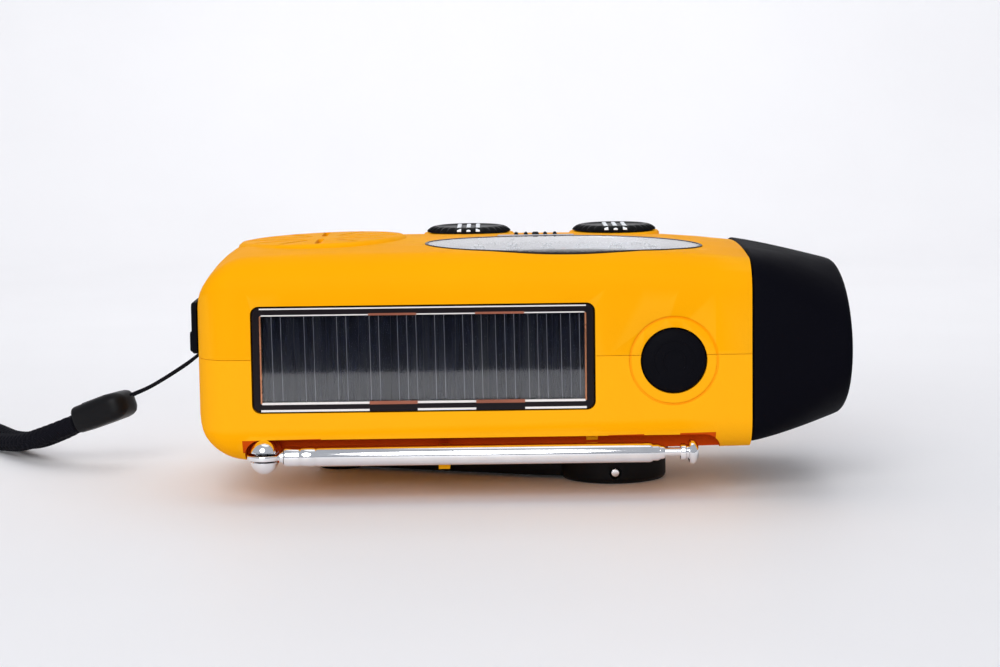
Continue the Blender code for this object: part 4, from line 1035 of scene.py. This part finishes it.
def build_antenna():
    y, z = middle("antenna_tube_1")[1], PIVOT[2]
    axis, left = (0, y, z), TUBE_LEFT
    profile = [(0, left - 0.3), (1.5, left - 0.3), (2.2, left), (TUBE_R, left + 0.5), (TUBE_R, left + 3.4)]
    for ring in (left + 3.7, left + 7.3):
        profile += [(TUBE_R, ring - 0.3), (2.18, ring), (TUBE_R, ring + 0.3)]
    profile += [(TUBE_R, 29.6), (2.3, 30.0), (2.12, 30.35), (2.12, 29.0), (2.12, left + 2.0), (0, left + 2.0)]
    first = piece("aerial_tube_1", *turned(profile, axis, "X", 64), CHROME, "antenna_1")
    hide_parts("antenna_tube_1")
    eye = turned(fillet(plain(3.95, -0.62, 0.62), 0.3), (PIVOT[0], y, z))
    piece("aerial_eye", *eye, CHROME, "antenna_1")
    neck_rings = []
    for x, half, thick in ((PIVOT[0] + 1.5, 2.6, 0.58), (PIVOT[0] + 3.4, 2.3, 0.6), (left - 0.9, 1.9, 1.2),
                           (left - 0.2, 1.9, 1.8)):
        neck_rings.append(placed(round_rectangle(half, thick, min(half, thick) * 0.95, 6), (y, z), x, "X"))
    piece("aerial_neck", *loft(neck_rings), CHROME, "antenna_1")
    steps = (("antenna_tube_2", "antenna_2", 1.99, 1.8, 32.1),
             ("antenna_tube_3", "antenna_3", 1.64, 1.42, 33.2))
    for node, body, outer, inner, right in steps:
        start = low(node)[0]
        shape = [(outer, start), (outer, right - 0.5), (outer - 0.22, right), (inner, right),
                 (inner, start)]
        made = piece("aerial_" + node[8:], *turned(shape, axis, "X", 64, hollow=True), CHROME, body)
        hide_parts(node)
    start = low("antenna_tip")[0]
    shape = [(0, start), (0.98, start), (0.98, 36.7), (1.75, 36.75), (1.9, 37.0), (1.9, 37.9), (1.6, 38.25),
             (1.6, 38.5), (2.6, 38.75), (2.88, 39.1), (2.88, 39.7), (2.5, 40.35), (1.5, 40.85), (0, 41.0)]
    tip = piece("aerial_tip", *turned(shape, axis, "X", 64), CHROME, "antenna_4")
    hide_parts("antenna_tip")
    build_knuckle(y, z)


def build_knuckle(y, z):
    """A ball split by the slot of the aerial's eye, on a turned base."""
    for name, sign in (("knuckle_upper", 1), ("knuckle_lower", -1)):
        flat, reach = 0.85, 4.0
        profile = [(0, sign * flat), (2.7, sign * flat), (3.15, sign * (flat + 0.25))]
        profile += [(3.15 * math.cos(t), sign * (1.1 + (reach - 1.1) * math.sin(t)))
                    for t in (math.pi / 2 * k / 14 for k in range(1, 15))]
        profile[-1] = (0, sign * reach)
        made = piece(name, *turned(profile, (PIVOT[0], y, z), "Z", 64), CHROME, "antenna_base")
        if sign > 0:
            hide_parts("antenna_knuckle")
    base = fillet([(0, y + 2.2), (2.2, y + 2.2), (2.2, FRONT + 3.9), (2.9, FRONT + 3.9), (2.9, FRONT + 5.9),
                   (1.6, FRONT + 5.9), (1.6, FRONT + 11.2), (0, FRONT + 11.2)], 0.25)
    stem = piece("knuckle_stem", *turned(base, (PIVOT[0], 0, z), "Y", 48), CHROME, "antenna_base")
    carve(stem, [guide("eye_room", *block(PIVOT[0] - 6, PIVOT[0] + 6, FRONT - 5, FRONT + 5.4, z - 1.0,
                                          z + 1.0))])
    soften(stem)


# ---------------- crank

def build_crank():
    a, b = low("crank_hub"), high("crank_hub")
    x, y = (a[0] + b[0]) / 2, (a[1] + b[1]) / 2
    radius, top = (b[1] - a[1]) / 2, b[2]
    profile = fillet([(0, 0), (radius - 1.0, 0), (radius, 1.0), (radius, top), (0, top)], 0.5)
    hub = piece("hub", *turned(profile, (x, y, 0), "Z", 96), CRANK, "crank")
    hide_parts("crank_hub")
    pin_z = middle("crank_pin")[2]
    carve(hub, [
        guide("slot", *block(x - 20, x + 20, y - 4.9, y + 4.9, -1, 6.0)),
        bore("pin_hole", (x, y, pin_z), 1.4, -20, 20, "Y"),
        bore("shaft_hole", (x, y, 0), 2.4, 6.6, 12, "Z")])
    round_edges(hub, 0.3)
    profile = fillet(plain(1.1, -12.9, 12.9), 0.35)
    pin = piece("hub_pin", *turned(profile, (x, y, pin_z), "Y", 32), CHROME, "crank", slot="steel")
    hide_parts("crank_pin")
    build_arm(x, y, pin_z)


def build_arm(x, y, pin_z):
    """The arm leaves the hub's slot straight, then bends towards the back of the case."""
    end, bend = Vector(middle("crank_knob")[:2]), Vector((8.5, y))
    along = (end - bend).normalized()
    side, half = Vector((-along.y, along.x)), Vector((0, -4.5))
    near, far = [Vector((x, y)) + half], [Vector((x, y)) - half]
    for k in range(9):
        t = k / 8
        turn = half.lerp(side * 4.2, t)
        spot = (bend + Vector((2.5, 0))).lerp(bend + along * 2.5, t).lerp(bend, 4 * t * (1 - t) * 0.3)
        near.append(spot + turn)
        far.append(spot - turn)
    outline = [tuple(p) for p in near + [end + side * 4.0] + [end - side * 4.0] + far[::-1]]
    arm = piece("arm", *slab(outline, (0, 0), 0.8, 4.4), CRANK, "crank_arm")
    eye = bore("eye", (x, y, pin_z), 2.3, -4.5, 4.5, "Y", 48)
    boss = guide("boss", *turned(fillet(plain(5.6, 0, 4.0), 0.5), (*end, 0), "Z", 64))
    carve(arm, [eye, boss], "UNION")
    panel = []
    for a, b in round_rectangle(17.5, 2.4, 1.2):
        spot = bend.lerp(end, 0.46) + along * a + side * b
        panel.append(tuple(spot))
    carve(arm, [
        guide("panel", *slab(panel, (0, 0), -1.0, 1.5)),
        bore("pin_hole", (x, y, pin_z), 1.4, -8, 8, "Y"),
        bore("knob_hole", (*end, 0), 1.5, -1, 8, "Z")])
    round_edges(arm, 0.3)
    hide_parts("crank_arm")
    base, top = low("crank_knob")[2], high("crank_knob")[2]
    profile = ((1.5, base, 0), (5.2, base, 0), (5.8, base + 0.4, 0.2), (5.95, base + 0.9, 0.4),
               (5.7, top - 0.9, 0.4), (5.3, top - 0.3, 0.2), (4.8, top, 0), (3.0, top, 0),
               (3.0, top - 1.2, 0), (1.5, top - 1.2, 0))
    rings = ribbed(profile, end, 20)
    knob = piece("handle_knob", *loft(rings, close=True), CRANK, "crank_knob", smooth=50)
    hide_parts("crank_knob")


# ---------------- port cover and strap

def build_port_cover():
    a, b = low("port_cover"), high("port_cover")
    centre = ((a[1] + b[1]) / 2, (a[2] + b[2]) / 2)
    half = ((b[1] - a[1]) / 2, (b[2] - a[2]) / 2)
    rings = [placed(round_rectangle(half[0] - s, half[1] - s, 1.5 - s, 6), centre, x, "X")
             for s, x in ((0, LEFT - 0.3), (0, LEFT - 1.2), (0.3, LEFT - 1.5))]
    cover = piece("port_flap", *loft(rings), RUBBER, "port_cover")
    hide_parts("port_cover")
    rings = [placed(round_rectangle(2.2 - s, 2.4 - s, 0.8 - s * 0.6, 5), (-22.0, 37.1), x, "X")
             for s, x in ((0, LEFT - 1.0), (0, LEFT - 1.85), (0.25, LEFT - 2.13))]
    piece("flap_nub", *loft(rings), RUBBER, "port_cover")


def smooth_path(points, count):
    """Points evenly spaced along a Catmull-Rom curve through the given ones."""
    knots = [Vector(p) for p in points]
    knots = [2 * knots[0] - knots[1]] + knots + [2 * knots[-1] - knots[-2]]
    fine = []
    for i in range(1, len(knots) - 2):
        a, b, c, d = knots[i - 1:i + 3]
        for k in range(24):
            t = k / 24
            fine.append(0.5 * (2 * b + (c - a) * t + (2 * a - 5 * b + 4 * c - d) * t * t
                               + (3 * b - a - 3 * c + d) * t ** 3))
    fine.append(knots[-2])
    lengths = [0.0]
    for p, q in zip(fine, fine[1:]):
        lengths.append(lengths[-1] + (q - p).length)
    path, j = [], 0
    for k in range(count):
        wanted = lengths[-1] * k / (count - 1)
        while j < len(fine) - 2 and lengths[j + 1] < wanted:
            j += 1
        share = (wanted - lengths[j]) / max(lengths[j + 1] - lengths[j], 1e-9)
        path.append(fine[j].lerp(fine[j + 1], min(share, 1.0)))
    return path, lengths[-1]


STRING_ROUTE = [
    (-97.4, 19.6, 18.9), (-91, 15.0, 22.0), (-82, 8.2, 27.8), (-75.5, 3.6, 32.6), (-72.6, 2.35, 34.3),
    (-70.9, 2.7, 34.7), (-70.15, 4.0, 34.8), (-70.9, 5.3, 34.7), (-72.6, 5.8, 34.3), (-75.8, 6.6, 32.4),
    (-82, 10.4, 27.4), (-91, 17.0, 21.6), (-97.0, 21.4, 18.5)]
CORD_ROUTE = [
    (-112.6, 29.3, 10.2), (-117, 32.5, 7.9), (-124.5, 40.5, 4.6), (-133, 53.5, 2.6), (-141, 68, 2.35),
    (-150, 83, 2.35), (-163, 95, 2.35), (-179, 99, 2.35), (-194, 93, 2.35), (-202, 79, 2.35),
    (-199, 64, 2.35), (-187, 54, 2.35), (-172, 51, 2.35), (-158, 53.5, 2.35), (-147, 54.5, 2.35),
    (-138, 50.0, 2.6), (-128.8, 37.2, 4.4), (-120.6, 28.6, 7.6), (-112.0, 24.3, 11.2)]
CORD_WIDE, STRING_WIDE = 4.6, 0.7
BEAD_FROM, BEAD_TO = Vector((-97.8, 21.0, 17.1)), Vector((-110.7, 26.0, 12.0))


def braided_tube(path, radius, turns_per_mm, strands, around=32):
    """A tube whose surface rises where the strands of a braid cross over."""
    rings = []
    up = Vector((0, 0, 1))
    travelled = 0.0
    for k, here in enumerate(path):
        ahead = path[min(k + 1, len(path) - 1)] - path[max(k - 1, 0)]
        if k:
            travelled += (here - path[k - 1]).length
        ahead.normalize()
        side = ahead.cross(up).normalized()
        up = side.cross(ahead).normalized()
        ring = []
        for j in range(around):
            spin = 2 * math.pi * j / around
            phase = 2 * math.pi * travelled * turns_per_mm
            one = math.cos(strands * spin + phase)
            two = math.cos(strands * spin - phase)
            lift = max(one, two) * 0.5 + 0.5
            r = radius * (0.90 + 0.11 * lift ** 0.8)
            ring.append(here + side * r * math.cos(spin) + up * r * math.sin(spin))
        rings.append(ring)
    return loft(rings)


def build_strap():
    path, length = smooth_path(CORD_ROUTE, 900)
    cord = piece("wrist_cord", *braided_tube(path, CORD_WIDE / 2, 0.42, 5), BRAID, smooth=80)
    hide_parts("strap_cord")
    string_path, string_length = smooth_path(STRING_ROUTE, 320)
    string = piece("wrist_string", *braided_tube(string_path, 0.36, 0.9, 3, 14), BRAID, smooth=80)
    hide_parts("strap_string")
    along = (BEAD_TO - BEAD_FROM).normalized()
    side = along.cross(Vector((0, 0, 1))).normalized()
    up = side.cross(along)
    rings = []
    shape = ((0.0, 0.30), (0.01, 0.5), (0.035, 0.68), (0.08, 0.83), (0.15, 0.94), (0.25, 1.0), (0.6, 1.0),
             (0.95, 0.98), (0.985, 0.94), (0.985, 0.78), (0.93, 0.76))
    for share, size in shape:
        centre = BEAD_FROM.lerp(BEAD_TO, share)
        outline = round_rectangle(5.4, 3.5, 2.4, 10)
        rings.append([tuple(centre + side * a * size + up * b * size) for a, b in outline])
    bead = piece("wrist_bead", *loft(rings), CRANK, smooth=50)
    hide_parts("strap_bead")
    bar = [tuple(BEAD_FROM.lerp(BEAD_TO, t) + side * a + up * (3.46 + h)) for h in (0.0, 0.14)
           for t, a in ((0.32, -2.8), (0.8, -2.8), (0.8, -1.5), (0.32, -1.5))]
    mark = piece("bead_mark", bar, BOX_FACES, CRANK)


# ---------------- CAD nodes that stay

KEPT = {
    STEEL: ["case_screw_1", "case_screw_2", "case_screw_3", "case_screw_4", "band_switch_body",
            "antenna_rivet", "crank_shaft", "crank_knob_screw", "idler_axle", "generator_housing",
            "gear_plate", "speaker_frame", "speaker_magnet", "charging_jack", "strap_pin"],
    ORANGE: ["battery_door"],
    SLEEVE: ["battery_pack"],
    MIRROR: ["flashlight_reflector"],
    LED: ["led_1", "led_2", "led_3"],
    GREEN: ["led_board", "circuit_board"],
    GLOSS: ["button_switch", "earphone_jack"],
    CREAM: ["tuning_capacitor", "volume_control"],
    NYLON: ["drive_gear", "idler_gear"],
    DARK: ["generator_rotor", "ferrite_rod"],
    PAPER: ["speaker_cone"],
    WIRE: ["antenna_coil"],
}


def dress_kept_nodes():
    for look, names in KEPT.items():
        for name in names:
            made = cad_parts[name]
            if not made.material_slots:
                made.data.materials.append(look)
            for place in made.material_slots:
                place.material = look


bpy.context.scene.view_settings.view_transform = "Standard"
build_camera()
build_strap()
build_stage()
build_front_case()
build_back_case()
build_head()
build_solar()
build_button()
build_knobs()
build_dial()
build_antenna()
build_crank()
build_port_cover()
dress_kept_nodes()
